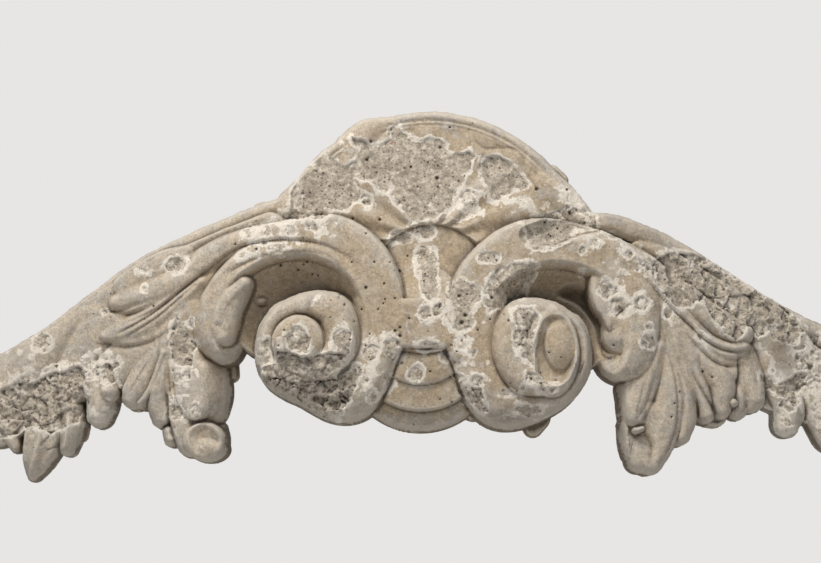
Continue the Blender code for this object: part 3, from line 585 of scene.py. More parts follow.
def carve_mouldings(relief):
    """The fine lines along the bands and between the leaves."""
    relief.crease(
        [(-369, 25, 1), (-343, 34, 2.5), (-319, 47, 3), (-305, 58, 3), (-288, 70, 3), (-271, 82, 3),
         (-252, 97, 4), (-234, 110, 4), (-216, 118, 4), (-174, 125, 4), (-125, 120, 3),
         (-89, 102, 1)], left=1.6, right=5
    )
    relief.crease(
        [(-371, 14, 1), (-354, 23, 3), (-332, 36, 3.5), (-310, 52, 3.5), (-288, 70, 3),
         (-266, 88, 2)], left=1.2, right=2.2
    )
    relief.crease(
        [(-361, 10, 1), (-344, 20, 2.5), (-322, 34, 2.5), (-300, 52, 2.5),
         (-278, 71, 1.5)], left=1.2, right=2.2
    )
    relief.crease(
        [(-377, 41, 4), (-364, 43, 3), (-349, 48, 2.5), (-332, 53, 1.5),
         (-318, 59, 0)], left=4, right=2
    )
    relief.crease(
        [(-390, 2, 3), (-363, -2, 4), (-332, 4, 3), (-305, 19, 1.5), (-283, 38, 0)], left=2, right=7
    )
    relief.crease([(-328, -7, 0), (-336, -24, 2), (-352, -51, 2), (-358, -64, 0)], left=2, right=1.5)
    relief.crease([(-309, -10, 0), (-309, -38, 3), (-306, -68, 3), (-303, -87, 1)], left=4, right=1.5)
    relief.crease([(-304, -15, 0), (-302, -50, 2), (-300, -77, 2)], left=1.2, right=2)
    relief.crease(
        [(-240, 76, 0), (-222, 93, 2), (-180, 108, 2), (-125, 108, 1.5),
         (-93, 87, 0.5)], left=1.6, right=5
    )
    relief.crease(
        [(-287, 87, 3), (-286, 99, 4), (-279, 113, 4), (-265, 122, 3), (-229, 137, 3),
         (-196, 146, 3), (-160, 149, 0)], left=6, right=3
    )
    relief.crease([(177, 138, 0), (213, 130, 4), (249, 120, 5), (289, 102, 3)], left=6, right=6)
    relief.crease(
        [(260, 82, 0), (279, 65, 3), (305, 38, 5), (321, 23, 6), (338, 7, 6), (358, -5, 6),
         (378, -9, 5), (394, -7, 3)], left=2.5, right=3.5
    )
    relief.crease([(314, 46, 0), (334, 27, 3), (352, 11, 3), (370, 3, 3), (387, 1, 1)], left=3, right=2)
    relief.crease(
        [(318, 10, 1), (334, -6, 4), (350, -20, 5), (366, -26, 4), (386, -24, 2)], left=2.5, right=4
    )
    relief.crease(
        [(285, 29, 0), (294, -8, 1.5), (303, -44, 3), (305, -70, 3.5), (303, -100, 3.5),
         (293, -128, 3), (283, -144, 1)], left=3, right=1.6
    )
    relief.crease(
        [(299, -10, 0), (309, -44, 2.5), (313, -70, 3), (309, -101, 3),
         (303, -123, 2)], left=1.6, right=3
    )
    relief.crease(
        [(291, 26, 0), (299, -1, 2), (313, -32, 3), (324, -58, 4), (330, -82, 4)], left=6, right=5
    )
    relief.crease(
        [(309, 11, 0), (321, -27, 3), (336, -56, 6), (350, -77, 7),
         (361, -95, 5)], left=2.5, right=5
    )
    relief.crease([(278, -34, 0), (273, -58, 2), (262, -82, 2), (251, -97, 0)], left=1.5, right=4)
    relief.crease([(268, -27, 0), (262, -56, 1.5), (255, -82, 1.5)], left=4, right=1.5)
    relief.crease([(265, -105, 3), (273, -123, 7), (272, -143, 3)], left=5, right=4)
    relief.crease([(372, -33, 0), (386, -52, 2.5), (393, -69, 3), (385, -86, 2)], left=3, right=4)
    relief.crease([(398, -26, 0), (404, -43, 2), (405, -62, 1)], left=2, right=3)
    relief.crease(
        [(57, 264, 0.5), (64, 251, 1.4), (75, 242, 1.4), (93, 243, 1.2), (111, 241, 1.4),
         (123, 230, 1.6), (126, 212, 1.4), (135, 195, 1)], left=1.2, right=3
    )

# %% The neck and the scrolls
def carve_neck(relief):
    """The knot where the bands meet, and the three tongues that hang under it."""
    for centre, halves, crown, drop in NECK_TONGUES:
        relief.dome(centre, halves, crown, drop=drop, fullness=5, blend=0.8, below=KNOT_LEVEL)
    relief.lobe([(-23, 24, 29, 101), (25, 24, 29, 101)], drop=3, fullness=6, blend=2)


def around(eye, outward, eighth, reach):
    """A place at a distance from an eye. The first eighth of a turn faces the centre line."""
    angle = (np.asarray(eighth) - 1) * np.pi / 4
    return eye[0] - outward * reach * np.cos(angle), eye[1] - reach * np.sin(angle)


def carve_cove(relief, eye, outward):
    """The hollow over a scroll: deepest against the scroll, rising to the lip of the band."""
    eighth, lip, floor = np.array(COVE_LIPS[outward]).T
    outer = np.array(SCROLL_EDGES[outward])[:, 1]
    rim = np.interp(eighth, range(len(outer)), outer) - 3
    x, z = around(eye, outward, eighth, rim)
    filled = np.stack((x, z, lip - rim, 0 * lip + COVE_GROUND), axis=1)
    relief.lobe(filled[2:], drop=4)
    trough = np.stack((x, z, lip - rim, floor), axis=1)
    relief.hollow(trough, rise=COVE_BRIM - floor.mean(), fullness=1.7, blend=30)


def carve_scroll(relief, eye, outward):
    """One scroll: a band wound in on itself, rising to its eye."""
    edges = np.array(SCROLL_EDGES[outward], float)
    eighth = np.arange(len(edges))
    x, z = around(eye, outward, eighth, edges.mean(axis=1))
    width = (edges[:, 1] - edges[:, 0]) / 2
    crown = SCROLL_START + SCROLL_RISE * eighth
    band = np.stack((x, z, width, crown), axis=1)
    for turn, blend in ((band[:8], 1.0), (band[7:11], 12.0), (band[6:], 2.0)):
        relief.lobe(turn, drop=17, fullness=3.2, blend=blend)


def carve_hubs(relief):
    """The left hub is a round boss with a shallow dish; the right one an oval dish with a raised eye."""
    relief.dome((-150, 0), (30, 31), HUB_CROWN - 2, drop=8, fullness=4, blend=3.0)
    relief.hollow([(-150, 7, 15, 123), (-148, -1, 14, 123)], rise=3, blend=3)
    relief.lobe(
        [(-181, -28, 10, 110), (-162, -29, 14, 115), (-138, -29, 15, 117), (-114, -24, 13, 115),
         (-98, -18, 8, 112)], drop=4, fullness=4, blend=3
    )
    relief.dome((152, -12), (31, 50), HUB_CROWN - 6, drop=3, fullness=5, blend=2.0)
    relief.hollow(
        [(155, 14, 19, 115), (155, -7, 24, 110), (153, -31, 21, 110)], rise=9, fullness=5, blend=3
    )
    relief.dome((161, -3), (17, 29), HUB_CROWN - 6, drop=8, fullness=2.2, blend=9.0)


def carve_neck_edges(relief):
    """The crisp edges of the two bands where they meet over the tongues."""
    relief.crease(
        [(-27, -11, 5), (-34, -28, 6), (-42, -50, 6), (-52, -68, 6),
         (-64, -84, 5)], left=3.5, right=1.2
    )
    relief.crease(
        [(27, -11, 5), (34, -28, 6), (42, -50, 6), (49, -65, 6), (59, -83, 6),
         (69, -93, 4)], left=1.2, right=3.5
    )
    relief.crease(
        [(-27, -9, 5), (-15, -11, 4), (1, -13, 4), (15, -11, 4), (27, -9, 5)], left=1.2, right=3
    )


def carve_corners(relief):
    """The undercut corner over the right scroll, and the lump of mortar left in the left cove."""
    relief.hollow(
        [(158, 59, 6, 56), (173, 62, 10, 36), (190, 58, 11, 28), (205, 42, 11, 34),
         (213, 19, 10, 48), (216, -7, 7, 64)], rise=26, fullness=1.7, blend=8
    )
    relief.dome((-200, 54), (6.5, 4), 60, drop=4, blend=1)


def carve_left_tongue(relief):
    """The two smaller tongues that lie on the one at the head of the left arm."""
    relief.lobe(
        [(-222, 69, 12, 92), (-238, 46, 17, 97), (-245, 22, 18, 98),
         (-243, 10, 13, 98)], drop=12, fullness=2.6, blend=5
    )
    relief.lobe(
        [(-219, 73, 10, 95), (-235, 56, 11, 99), (-245, 38, 11, 100),
         (-247, 27, 10, 100)], drop=10, fullness=2.6, blend=2
    )


def carve_leaf_tip(relief):
    """The small leaf tip that points down into the right cove."""
    relief.lobe([(238, 57, 20, 91), (238, 30, 20, 91), (237, 8, 19, 91)], drop=14, fullness=2, blend=14)
    relief.lobe(
        [(226, 76, 24, 92), (226, 57, 22, 92), (227, 40, 14, 91), (227, 25, 8, 90),
         (224, 17, 2, 86)], drop=3, fullness=5, blend=2
    )
    relief.crease([(215, 1, 1), (217, -11, 4), (224, -17, 4), (239, -12, 1)], left=1.5, right=3)


def carve_backs(relief):
    """Thin ragged slips that stand out past the face at the wall."""
    relief.lobe([(-243, -24, 10, 34), (-238, -34, 6, 30)], drop=4)
    relief.lobe([(138, -85, 16, 34), (135, -99, 9, 34)], drop=2)
    relief.lobe([(-60, -74, 9, 46), (-54, -81, 5, 42)], drop=4)
    relief.lobe([(51, -75, 9, 46), (61, -82, 6, 42)], drop=4)
    relief.lobe([(-93, 245, 15, 64), (-71, 260, 17, 66), (-51, 270, 11, 64)], drop=7)
    relief.lobe([(158, 214, 9, 52), (168, 204, 9, 50)], drop=6)
    relief.lobe([(-198, 166, 10, 58), (-181, 168, 9, 60)], drop=6)

# %% Carve the whole form
relief = Relief(GRID)
carve_bodies(relief)
carve_crest(relief)
carve_wedge(relief)
carve_backs(relief)
carve_left_arm(relief)
carve_right_arm(relief)
carve_left_leaf(relief)
carve_right_leaves(relief)
carve_left_end(relief)
carve_left_band(relief)
carve_right_band(relief)
carve_mouldings(relief)
carve_neck(relief)
for eye, outward in ((LEFT_EYE, -1), (RIGHT_EYE, 1)):
    carve_cove(relief, eye, outward)
    carve_scroll(relief, eye, outward)
carve_hubs(relief)
carve_neck_edges(relief)
carve_corners(relief)
carve_left_tongue(relief)
carve_leaf_tip(relief)
print("grid", relief.height.shape, "highest point", round(relief.height.max(), 1), "mm")

# %% [markdown]
# ## Crisper lines
#
# A grid rounds every line a little. Taking the height away from its own blurred copy shows what the
# rounding lost, and adding part of that back sharpens the ridges and deepens the grooves.

# %% Sharpen the carving
def blurred(field, width):
    """The field averaged over a bell of the given width in mm."""
    reach = math.ceil(2.5 * width / GRID)
    bell = np.exp(-0.5 * (np.arange(-reach, reach + 1) * GRID / width) ** 2)
    bell /= bell.sum()
    for axis in (0, 1):
        padding = [(reach, reach) if axis == other else (0, 0) for other in (0, 1)]
        padded = np.pad(field, padding, mode="edge")
        moved = [
            part * np.take(padded, range(step, step + field.shape[axis]), axis=axis)
            for step, part in enumerate(bell)
        ]
        field = np.sum(moved, axis=0)
    return field


standing = np.maximum(relief.height, 20)
lost = np.clip(standing - blurred(standing, SHARPEN_WIDTH), -SHARPEN_LIMIT, SHARPEN_LIMIT / 2)
relief.height = np.where(relief.height > 20, relief.height + SHARPEN * lost, relief.height)
print("sharpened by up to", round(float(np.abs(SHARPEN * lost).max()), 2), "mm")

# %% [markdown]
# ## Noise for worn and broken stone
#
# Nothing random is drawn: each whole-numbered cell of space gets its own fixed number by hashing, so
# the stone comes out the same on every run. Clouds blend the numbers of neighbouring cells, and
# pebbles measure how far a place is from the nearest scattered point.

# %% Clouds and pebbles
def scatter(cell, seed):
    """A fixed number from 0 to 1 for each whole-numbered cell of space."""
    mixed = cell[..., 0] * 73856093 ^ cell[..., 1] * 19349663 ^ cell[..., 2] * 83492791 ^ seed * 2654435
    mixed = (mixed ^ (mixed >> 13)) * 1274126177 & 0x7FFFFFFF
    mixed = (mixed ^ (mixed >> 15)) * 1103515245 & 0x7FFFFFFF
    return (mixed >> 8 & 0xFFFF) / 65535


def cloud(place, size, seed):
    """Soft noise from -1 to 1, with lumps of one size."""
    cell = np.floor(place / size).astype(np.int64)
    part = place / size - cell
    part = part * part * (3 - 2 * part)
    total = 0
    for corner in itertools.product((0, 1), repeat=3):
        share = np.where(corner, part, 1 - part).prod(axis=-1)
        total = total + share * scatter(cell + corner, seed)
    return 2 * total - 1


def rough(place, size, octaves, seed):
    """Clouds of halving size laid over each other."""
    return sum(cloud(place, size / 2**step, seed + step) / 2**step for step in range(octaves))


def pebbles(place, size, seed):
    """Scattered points: how far the nearest and the next are, in cells, and the nearest one's facet."""
    place = place[..., (0, 2)] / size
    cell = np.floor(place).astype(np.int64)
    nearest = np.full(place.shape[:-1], 9.0)
    second = nearest.copy()
    facet = np.zeros_like(nearest)
    for step in itertools.product((-1, 0, 1), repeat=2):
        near = cell + step
        key = np.stack((near[..., 0], near[..., 1], np.zeros_like(near[..., 0])), axis=-1)
        lot = [scatter(key, seed + number) for number in range(5)]
        across, up = place[..., 0] - near[..., 0] - lot[0], place[..., 1] - near[..., 1] - lot[1]
        gap = np.hypot(across, up)
        tilted = 2 * lot[2] - 1 + 1.6 * ((lot[3] - 0.5) * across + (lot[4] - 0.5) * up)
        facet = np.where(gap < nearest, tilted, facet)
        second = np.minimum(second, np.maximum(nearest, gap))
        nearest = np.minimum(nearest, gap)
    return nearest, second, facet

# %% [markdown]
# ## Breaks, chips and pits
#
# Where the skin has flaked off, the surface drops a few millimetres in one sharp step to rough
# stone, and a thin crust stands up white round the edge. A break is a closed outline. The distance
# to it, positive inside, shapes the step and the crust, and is kept for the material.

# %% Tools for breaks
relief.broken = np.full(relief.height.shape, -30.0)
relief.dark = np.zeros(relief.height.shape)
relief.film = np.zeros(relief.height.shape)
relief.pits = []
surface = np.stack((relief.x, relief.height, relief.z), axis=-1)
drift_x = 2.4 * rough(surface, 11.0, 4, seed=11)
drift_z = 2.4 * rough(surface, 11.0, 4, seed=21)
grain = rough(surface, 8.0, 3, seed=31)
broad_grain = rough(surface, 26.0, 3, seed=81)
bent = surface + 2.0 * np.stack((grain, 0 * grain, broad_grain), axis=-1)
near_block, next_block, block = pebbles(bent, 15.0, seed=41)
near_lump, next_lump, lump = pebbles(bent, 6.5, seed=51)
STEP = 1.6
PIT_SIZE = 0.62


def outline_distance(x, z, outline):
    """The distance to a closed outline: positive inside, negative outside."""
    gap = np.full(x.shape, np.inf)
    within = np.zeros(x.shape, bool)
    for (ax, az), (bx, bz) in zip(outline, np.roll(outline, -1, axis=0)):
        run, rise = bx - ax, bz - az
        share = np.clip(((x - ax) * run + (z - az) * rise) / (run**2 + rise**2), 0, 1)
        gap = np.minimum(gap, np.hypot(x - ax - share * run, z - az - share * rise))
        crosses = (az > z) != (bz > z)
        within ^= crosses & (x < ax + run * (z - az) / (rise if rise else 1))
    return np.where(within, gap, -gap)


def sink(relief, window, inside, depth, grit, lumps, crust, level=None):
    """Lower the stone inside a break, roughen its floor, paint shade into its clefts and raise the crust round
    it.
    """
    share = np.clip(inside / STEP + 0.5, 0, 1)
    share = share * share * (3 - 2 * share)
    height = relief.height[window]
    floor = height
    if level is not None:
        standing = np.clip((height - level + 24) / 6, 0, 1)
        floor = height + standing * (level + depth - height) * 0.85
    texture = grit * (0.8 * grain[window] + 0.8 * lump[window])
    clefts = np.exp(-(((next_block - near_block)[window] / 0.08) ** 2))
    clefts = clefts * np.clip(2.5 * broad_grain[window] - 0.2, 0, 1)
    texture = texture + lumps * (0.7 * broad_grain[window] + 1.1 * block[window] - 1.2 * clefts)
    edge = crust * np.clip(0.3 + grain[window], 0, 1.2) * np.exp(-(((inside + 1.5) / 1.3) ** 2))
    relief.height[window] = height + share * (floor - height - depth + texture) + edge
    relief.broken[window] = np.maximum(relief.broken[window], inside)
    # Painted shade: the clefts between the lumps are darkened.
    relief.dark[window] = np.maximum(relief.dark[window], share * np.clip(0.15 * lumps * clefts, 0, 0.5))


def flake(relief, outline, depth=3.0, grit=0.9, lumps=0.0, crust=0.7, level=None, white=0.0):
    """A broken place inside a closed outline. White says how thick the crust round it is."""
    outline = np.array(outline, float)
    window = relief.window(outline, 20)
    x = relief.x[window] + drift_x[window]
    z = relief.z[window] + drift_z[window]
    inside = outline_distance(x, z, outline)
    sink(relief, window, inside, depth, grit, lumps, crust, level)
    ring = white * np.exp(-(((inside + 1.8) / 2.6) ** 2)) * np.clip(0.9 + 0.9 * lump[window], 0.2, 1.3)
    relief.film[window] = np.maximum(relief.film[window], ring)


def chips(relief, rows, depth=1.8, grit=0.8, lumps=0.0, crust=0.8):
    """Small ragged chips along rows of x, z, half width and half height."""
    for x, z, half_width, half_height in rows:
        window = relief.window(np.array([(x, z)], float), max(half_width, half_height) + 14)
        across = (relief.x[window] + drift_x[window] - x) / half_width
        up = (relief.z[window] + drift_z[window] - z) / half_height
        inside = (1 - np.hypot(across, up) + 0.22 * grain[window]) * min(half_width, half_height)
        sink(relief, window, inside, depth, grit, lumps, crust)


def erode(relief, rows, depth=1.6, grit=1.0, crust=0.6):
    """Scattered small losses within rows of x, z, radius and how much of the skin is lost there."""
    for x, z, radius, share in rows:
        window = relief.window(np.array([(x, z)], float), radius)
        away = np.hypot(relief.x[window] - x, relief.z[window] - z) / radius
        lost = 0.75 * grain[window] + 0.5 * broad_grain[window] + 1.1 * share - 0.7
        inside = 6.0 * (lost - 1.2 * np.clip(away - 0.3, 0, 1))
        sink(relief, window, inside, depth, grit, 0.0, crust)


def smear(relief, rows):
    """A thin white film left on the skin, within rows of x, z and radius."""
    for x, z, radius in rows:
        window = relief.window(np.array([(x, z)], float), 1.4 * radius)
        away = np.hypot(relief.x[window] - x, relief.z[window] - z) / radius
        ragged = 1.1 - 1.3 * away + 1.1 * grain[window]
        relief.film[window] = np.maximum(relief.film[window], np.clip(1.2 * ragged, 0, 0.65) * (away < 1.4))


def stain_and_painted_shade(relief, rows):
    """Grey stains, and painted shade on undersides: a soft darkening within rows of x, z, radius and how dark
    its middle is.
    """
    for x, z, radius, share in rows:
        window = relief.window(np.array([(x, z)], float), 1.6 * radius)
        away = np.hypot(relief.x[window] - x, relief.z[window] - z) / radius
        soft = share * np.exp(-(away**2)) * np.clip(1 + 0.5 * broad_grain[window], 0, 1.5)
        relief.dark[window] = np.maximum(relief.dark[window], soft)


def pits(relief, rows):
    """Note small blow holes along rows of x, z and radius. They are sunk later, in the finer mesh, and painted
    dark as the shade inside them.
    """
    relief.pits += [(x, z, PIT_SIZE * radius) for x, z, radius in rows]


def crack(relief, rows, depth=2.0):
    """A thin dark crack along rows of x and z."""
    line = spline([(*place, depth) for place in rows])
    relief.crease([(*place, depth) for place in rows], left=0.9, right=0.9)
    window = relief.window(line, 8)
    gap = np.min([np.hypot(relief.x[window] - px, relief.z[window] - pz) for px, pz in line[:, :2]], axis=0)
    relief.dark[window] = np.maximum(relief.dark[window], 0.8 * np.exp(-((gap / 1.1) ** 2)))


# %% Breaks on the crest
flake(relief, 
    [(-152, 208), (-137, 224), (-122, 236), (-112, 228), (-97, 220), (-83, 228), (-82, 240),
     (-88, 255), (-76, 254), (-66, 245), (-54, 247), (-44, 252), (-42, 267), (-32, 271), (-24, 260),
     (-15, 256), (-5, 251), (8, 255), (20, 252), (28, 245), (33, 234), (57, 237), (62, 232),
     (57, 215), (48, 199), (39, 180), (28, 163), (15, 157), (0, 151), (-16, 147), (-17, 158),
     (-29, 167), (-37, 175), (-43, 185), (-39, 196), (-47, 188), (-56, 189), (-66, 199), (-86, 206),
     (-81, 196), (-71, 184), (-78, 175), (-88, 174), (-94, 163), (-109, 166), (-121, 151),
     (-152, 151), (-168, 153), (-163, 169),
     (-161, 187)], depth=0.9, grit=0.55, level=60.5, white=0.75
)
flake(relief, 
    [(69, 230), (93, 231), (103, 225), (112, 216), (122, 210), (130, 198), (118, 190), (99, 183),
     (85, 175), (71, 200), (68, 215)], depth=1.4, grit=0.8, lumps=0.6, white=0.7
)
relief.hollow([(78, 221, 7, 57), (87, 224, 9, 56), (102, 218, 7, 58)], rise=2, blend=2)
relief.hollow(
    [(125, 130, 10, 89), (152, 135, 16, 84), (184, 149, 17, 72),
     (205, 152, 15, 68)], rise=6, blend=4
)
flake(relief, 
    [(117, 149), (128, 154), (147, 160), (160, 163), (172, 171), (189, 165), (211, 158), (213, 141),
     (183, 138), (179, 128), (164, 118), (149, 113), (132, 110), (122, 118),
     (126, 135)], depth=1.4, grit=0.8, white=0.6
)
chips(relief, 
    [(56, 183, 11.0, 6.1), (-70, 177, 7.3, 7.3), (-161, 159, 8.5, 6.1), (-129, 156, 14.6, 6.1)]
)
pits(relief, 
    [(-54, 153, 2.7), (-87, 155, 2.2), (-70, 132, 1.9), (32, 268, 2.2), (138, 191, 3.7),
     (175, 190, 2.5), (20, 243, 2.7), (16, 205, 3.7), (-65, 250, 3.1), (-70, 228, 3.1),
     (-16, 219, 2.5), (5, 224, 1.8)]
)

smear(relief, 
    [(124, 178, 13.5), (111, 168, 11.0), (56, 178, 17.1), (71, 187, 11.0), (7, 166, 17.1),
     (26, 172, 14.7), (38, 159, 9.8), (99, 163, 11.0), (166, 162, 14.7), (-97, 237, 12.3),
     (-105, 252, 11.0), (155, 203, 9.8), (169, 187, 11.0), (-156, 171, 12.2), (-139, 157, 17.0),
     (-119, 147, 14.5), (148, 171, 11.0), (200, 149, 14.6), (131, 121, 10.9)]
)
erode(relief, 
    [(56, 168, 22, 0.45), (118, 171, 22, 0.4), (185, 171, 27, 0.7), (-133, 156, 22, 0.7),
     (-154, 162, 20, 0.6)], depth=1.0, grit=0.8
)

# %% Breaks on the wedge, the bands and the neck
flake(relief, 
    [(-4, 121), (15, 116), (17, 83), (19, 61), (14, 51), (5, 50), (-3, 60), (-6, 79),
     (-10, 100)], depth=1.0, grit=0.8, white=0.7
)
chips(relief, [(-27, 131, 13.5, 8.6), (1, 139, 12.3, 9.8)], depth=1.5)
flake(relief, 
    [(33, 72), (45, 77), (60, 68), (69, 62), (69, 51), (58, 44), (57, 32), (61, 24), (55, 14),
     (40, 12), (33, 18), (38, 30), (27, 54)], depth=1.5, white=0.6
)
flake(relief, 
    [(91, 90), (106, 97), (127, 98), (139, 93), (133, 79), (121, 70), (107, 55), (95, 45), (79, 37),
     (72, 45), (73, 63), (79, 78)], depth=1.8, white=0.6
)
chips(relief, 
    [(79, 102, 12.0, 8.4), (1, 36, 7.2, 7.2), (16, 38, 7.2, 6.0), (-99, -2, 10.7, 17.8),
     (-64, -13, 10.7, 9.6), (-39, -8, 9.6, 11.9), (-44, -45, 6.0, 8.3), (-63, -65, 7.1, 7.1),
     (7, -4, 12.0, 4.8), (25, -17, 4.8, 4.8), (-9, -37, 9.6, 9.6), (41, -40, 6.0, 3.6),
     (58, -13, 3.6, 3.6)]
)
chips(relief, 
    [(203, 122, 6.0, 6.0), (190, 112, 4.8, 4.8), (188, 86, 3.6, 3.6), (247, 108, 6.0, 4.8),
     (228, 131, 7.3, 3.6), (-212, 134, 7.2, 7.2), (-190, 137, 6.0, 9.7), (-159, 135, 6.0, 7.2),
     (-134, 139, 8.4, 7.2), (-221, 107, 6.0, 3.6), (-177, 113, 10.8, 4.8)], depth=1.4
)
pits(relief, 
    [(-30, 90, 2.9), (-70, 66, 3.6), (-48, 71, 1.9), (-47, 52, 1.9), (-49, 47, 1.7), (-55, 40, 1.9),
     (-60, 97, 1.8), (-142, 100, 2.4), (-153, 91, 2.4), (-174, 96, 2.9), (-136, 86, 1.7),
     (-101, 58, 3.6), (-95, 44, 2.9), (-75, 40, 2.2), (-29, 18, 2.6), (-35, 14, 2.9), (-29, 8, 3.1),
     (-65, 10, 1.9), (-27, -24, 2.6), (35, 67, 3.1), (42, 56, 2.9), (81, 54, 3.1), (49, 33, 3.4),
     (45, 24, 4.1), (19, 46, 2.2), (-328, 46, 2.7), (-228, 119, 1.9), (-202, 113, 2.6),
     (7, 32, 1.9), (-35, 53, 1.7), (-18, 29, 1.7), (-87, 97, 1.7)]
)

erode(relief, 
    [(-162, 134, 27, 0.55), (-200, 124, 24, 0.5), (-125, 134, 22, 0.55), (-59, -9, 24, 0.55),
     (-35, -3, 19, 0.5), (-71, -39, 21, 0.55), (55, -35, 24, 0.4), (-86, -31, 17, 0.7),
     (14, 39, 19, 0.5), (45, -3, 17, 0.3)], depth=1.3, grit=1.0
)
smear(relief, 
    [(-196, 134, 10.9), (-168, 136, 14.5), (-135, 139, 14.5), (-113, 129, 9.6), (-176, 112, 10.8),
     (-207, 110, 9.6), (-64, -3, 11.9), (-47, 5, 10.8), (-31, -9, 9.6), (7, 3, 14.3),
     (-84, -36, 11.9), (5, 49, 12.0), (25, 44, 10.8), (212, 129, 9.6), (197, 115, 8.4),
     (37, -9, 8.4), (67, -15, 8.4), (50, 3, 8.4), (187, 86, 6.0)]
)

# %% Breaks on the scrolls
chips(relief, [(-150, 0, 14.1, 16.5)], depth=2.4, grit=1.6)
smear(relief, 
    [(-152, 8, 14.2), (-168, -13, 14.2), (-193, -12, 19.0), (-147, -23, 16.5), (-130, 50, 10.7),
     (-118, 40, 10.7), (-112, -13, 14.2), (-193, -34, 10.7)]
)
flake(relief, 
    [(-201, 2), (-186, 5), (-181, -10), (-184, -24), (-193, -29),
     (-199, -17)], depth=2.0, grit=1.4, white=0.9
)
flake(relief, 
    [(-176, -13), (-159, -14), (-143, -19), (-124, -15), (-110, -12), (-93, -15), (-97, -32),
     (-106, -42), (-124, -49), (-142, -50), (-159, -47), (-177, -47), (-195, -47), (-194, -31),
     (-181, -27)], depth=1.5, grit=1.5, lumps=1.2, crust=0.3, level=114.0, white=0.6
)
relief.hollow([(-129, -68, 5, 94), (-115, -72, 7, 91), (-98, -74, 6, 93)], rise=8, blend=2)
flake(relief, 
    [(-196, -41), (-172, -44), (-142, -46), (-122, -45), (-103, -36), (-89, -26), (-72, -26),
     (-77, -42), (-86, -59), (-93, -76), (-108, -97), (-142, -97), (-170, -83),
     (-191, -64)], depth=1.5, grit=2.3, lumps=3.4, crust=0.3, white=0.35
)
crack(relief, [(-130, -41), (-118, -52), (-106, -62), (-94, -67)], depth=2.4)
crack(relief, [(-168, -59), (-153, -54), (-139, -60), (-127, -58)])
flake(relief, 
    [(104, 40), (130, 41), (137, 28), (132, 7), (129, -11), (130, -30), (116, -22), (105, 2),
     (108, 19)], depth=1.8, grit=1.5, lumps=0.5, white=0.8
)
flake(relief, 
    [(120, -34), (132, -41), (143, -51), (160, -51), (151, -60), (134, -60),
     (122, -50)], depth=2.4, grit=1.6, lumps=0.6, white=0.8
)
smear(relief, 
    [(116, 13, 16.6), (113, -10, 14.2), (143, -55, 14.2), (96, 50, 10.8), (75, 27, 9.6),
     (74, 8, 8.4)]
)
chips(relief, [(122, -82, 16.6, 7.1), (96, -61, 7.1, 4.8), (118, 63, 8.4, 9.6)], depth=2.2, grit=1.3)
flake(relief, 
    [(41, -54), (55, -51), (66, -54), (71, -66), (77, -83), (66, -82), (55, -73),
     (45, -64)], depth=2.2, grit=1.4, lumps=0.8
)
crack(relief, [(57, -54), (64, -66), (75, -81)], depth=2.4)
chips(relief, [(39, -39, 6.0, 3.6), (63, -46, 8.4, 6.0), (115, -57, 3.6, 3.6)], depth=1.6, grit=1.2)
crack(relief, [(185, -36), (190, -24)])

pits(relief, 
    [(-41, 97, 1.7), (-24, 55, 1.7), (-83, 24, 1.6), (45, 2, 1.7), (39, -11, 1.7), (32, -3, 1.6),
     (64, 15, 1.6), (79, 28, 1.7), (95, 33, 2.1), (100, 25, 1.7), (102, -49, 2.1), (110, -58, 1.8),
     (148, -13, 1.7), (162, -19, 1.5), (138, -37, 1.5), (156, -46, 1.5), (193, 13, 1.7),
     (179, -29, 1.8), (-146, 97, 1.9), (-129, 84, 1.6), (-111, 49, 1.5), (-102, 53, 2.4),
     (-88, 2, 1.5), (7, -34, 1.7), (31, -40, 1.6), (19, -67, 1.4), (33, -70, 1.6), (-166, 13, 1.7),
     (-172, -6, 1.7), (-70, -4, 1.6), (-97, -56, 1.7), (0, 76, 1.6), (-20, 109, 1.7),
     (122, 13, 2.4), (113, -4, 2.1), (118, 28, 1.8), (126, -45, 2.1), (138, -50, 1.9),
     (87, 99, 1.7), (146, 147, 2.2), (162, 140, 2.2), (178, 162, 2.4), (196, 149, 2.2),
     (153, 130, 1.7)]
)
# Painted shade: the first three rows darken the lower-left underside of the right scroll, and the fifth the
# bottom of the neck. The others darken patches on the arms, bands and crest.
stain_and_painted_shade(relief, 
    [(96, -85, 21, 0.38), (78, -66, 17, 0.26), (119, -92, 17, 0.4), (435, -8, 29, 0.3),
     (-5, -97, 31, 0.1), (-240, -68, 14, 0.16), (-357, 3, 27, 0.14), (276, 138, 32, 0.2),
     (338, 102, 20, 0.2), (-152, 183, 17, 0.16), (-69, 228, 15, 0.14), (97, 213, 15, 0.14),
     (245, 152, 27, 0.16), (-482, -17, 27, 0.18)]
)

# %% Breaks on the left arm
flake(relief, 
    [(-529, -56), (-500, -47), (-475, -45), (-461, -36), (-441, -31), (-422, -26), (-412, -33),
     (-414, -55), (-408, -69), (-413, -93), (-428, -96), (-455, -106), (-474, -100), (-490, -102),
     (-508, -112), (-528, -110)], depth=3.4, grit=2.0, lumps=1.9, crust=0.2
)
flake(relief, 
    [(-300, 36), (-293, 22), (-276, -1), (-280, -26), (-292, -29), (-304, -24),
     (-309, -2)], depth=3.0, grit=1.5, lumps=0.8, crust=0.3
)
erode(relief, 
    [(-511, -49, 17, 0.6), (-487, -44, 17, 0.65), (-459, -35, 17, 0.65), (-434, -25, 17, 0.6),
     (-409, -33, 32, 0.75), (-386, -33, 24, 0.8), (-432, -32, 22, 0.5), (-388, -79, 17, 0.6),
     (-482, -17, 32, 0.2), (-296, -82, 22, 0.7), (-289, -34, 19, 0.6), (-285, 26, 12, 0.5)]
)
smear(relief, 
    [(-409, -28, 14.6), (-403, -55, 14.6), (-480, -110, 14.6), (-463, -108, 12.2),
     (-438, -103, 12.2), (-383, -28, 12.1), (-463, -35, 11.0), (-494, -54, 14.7), (-509, -42, 14.7),
     (-304, -34, 9.7), (-296, -98, 10.8), (-411, -81, 10.9), (-510, -110, 12.2)]
)
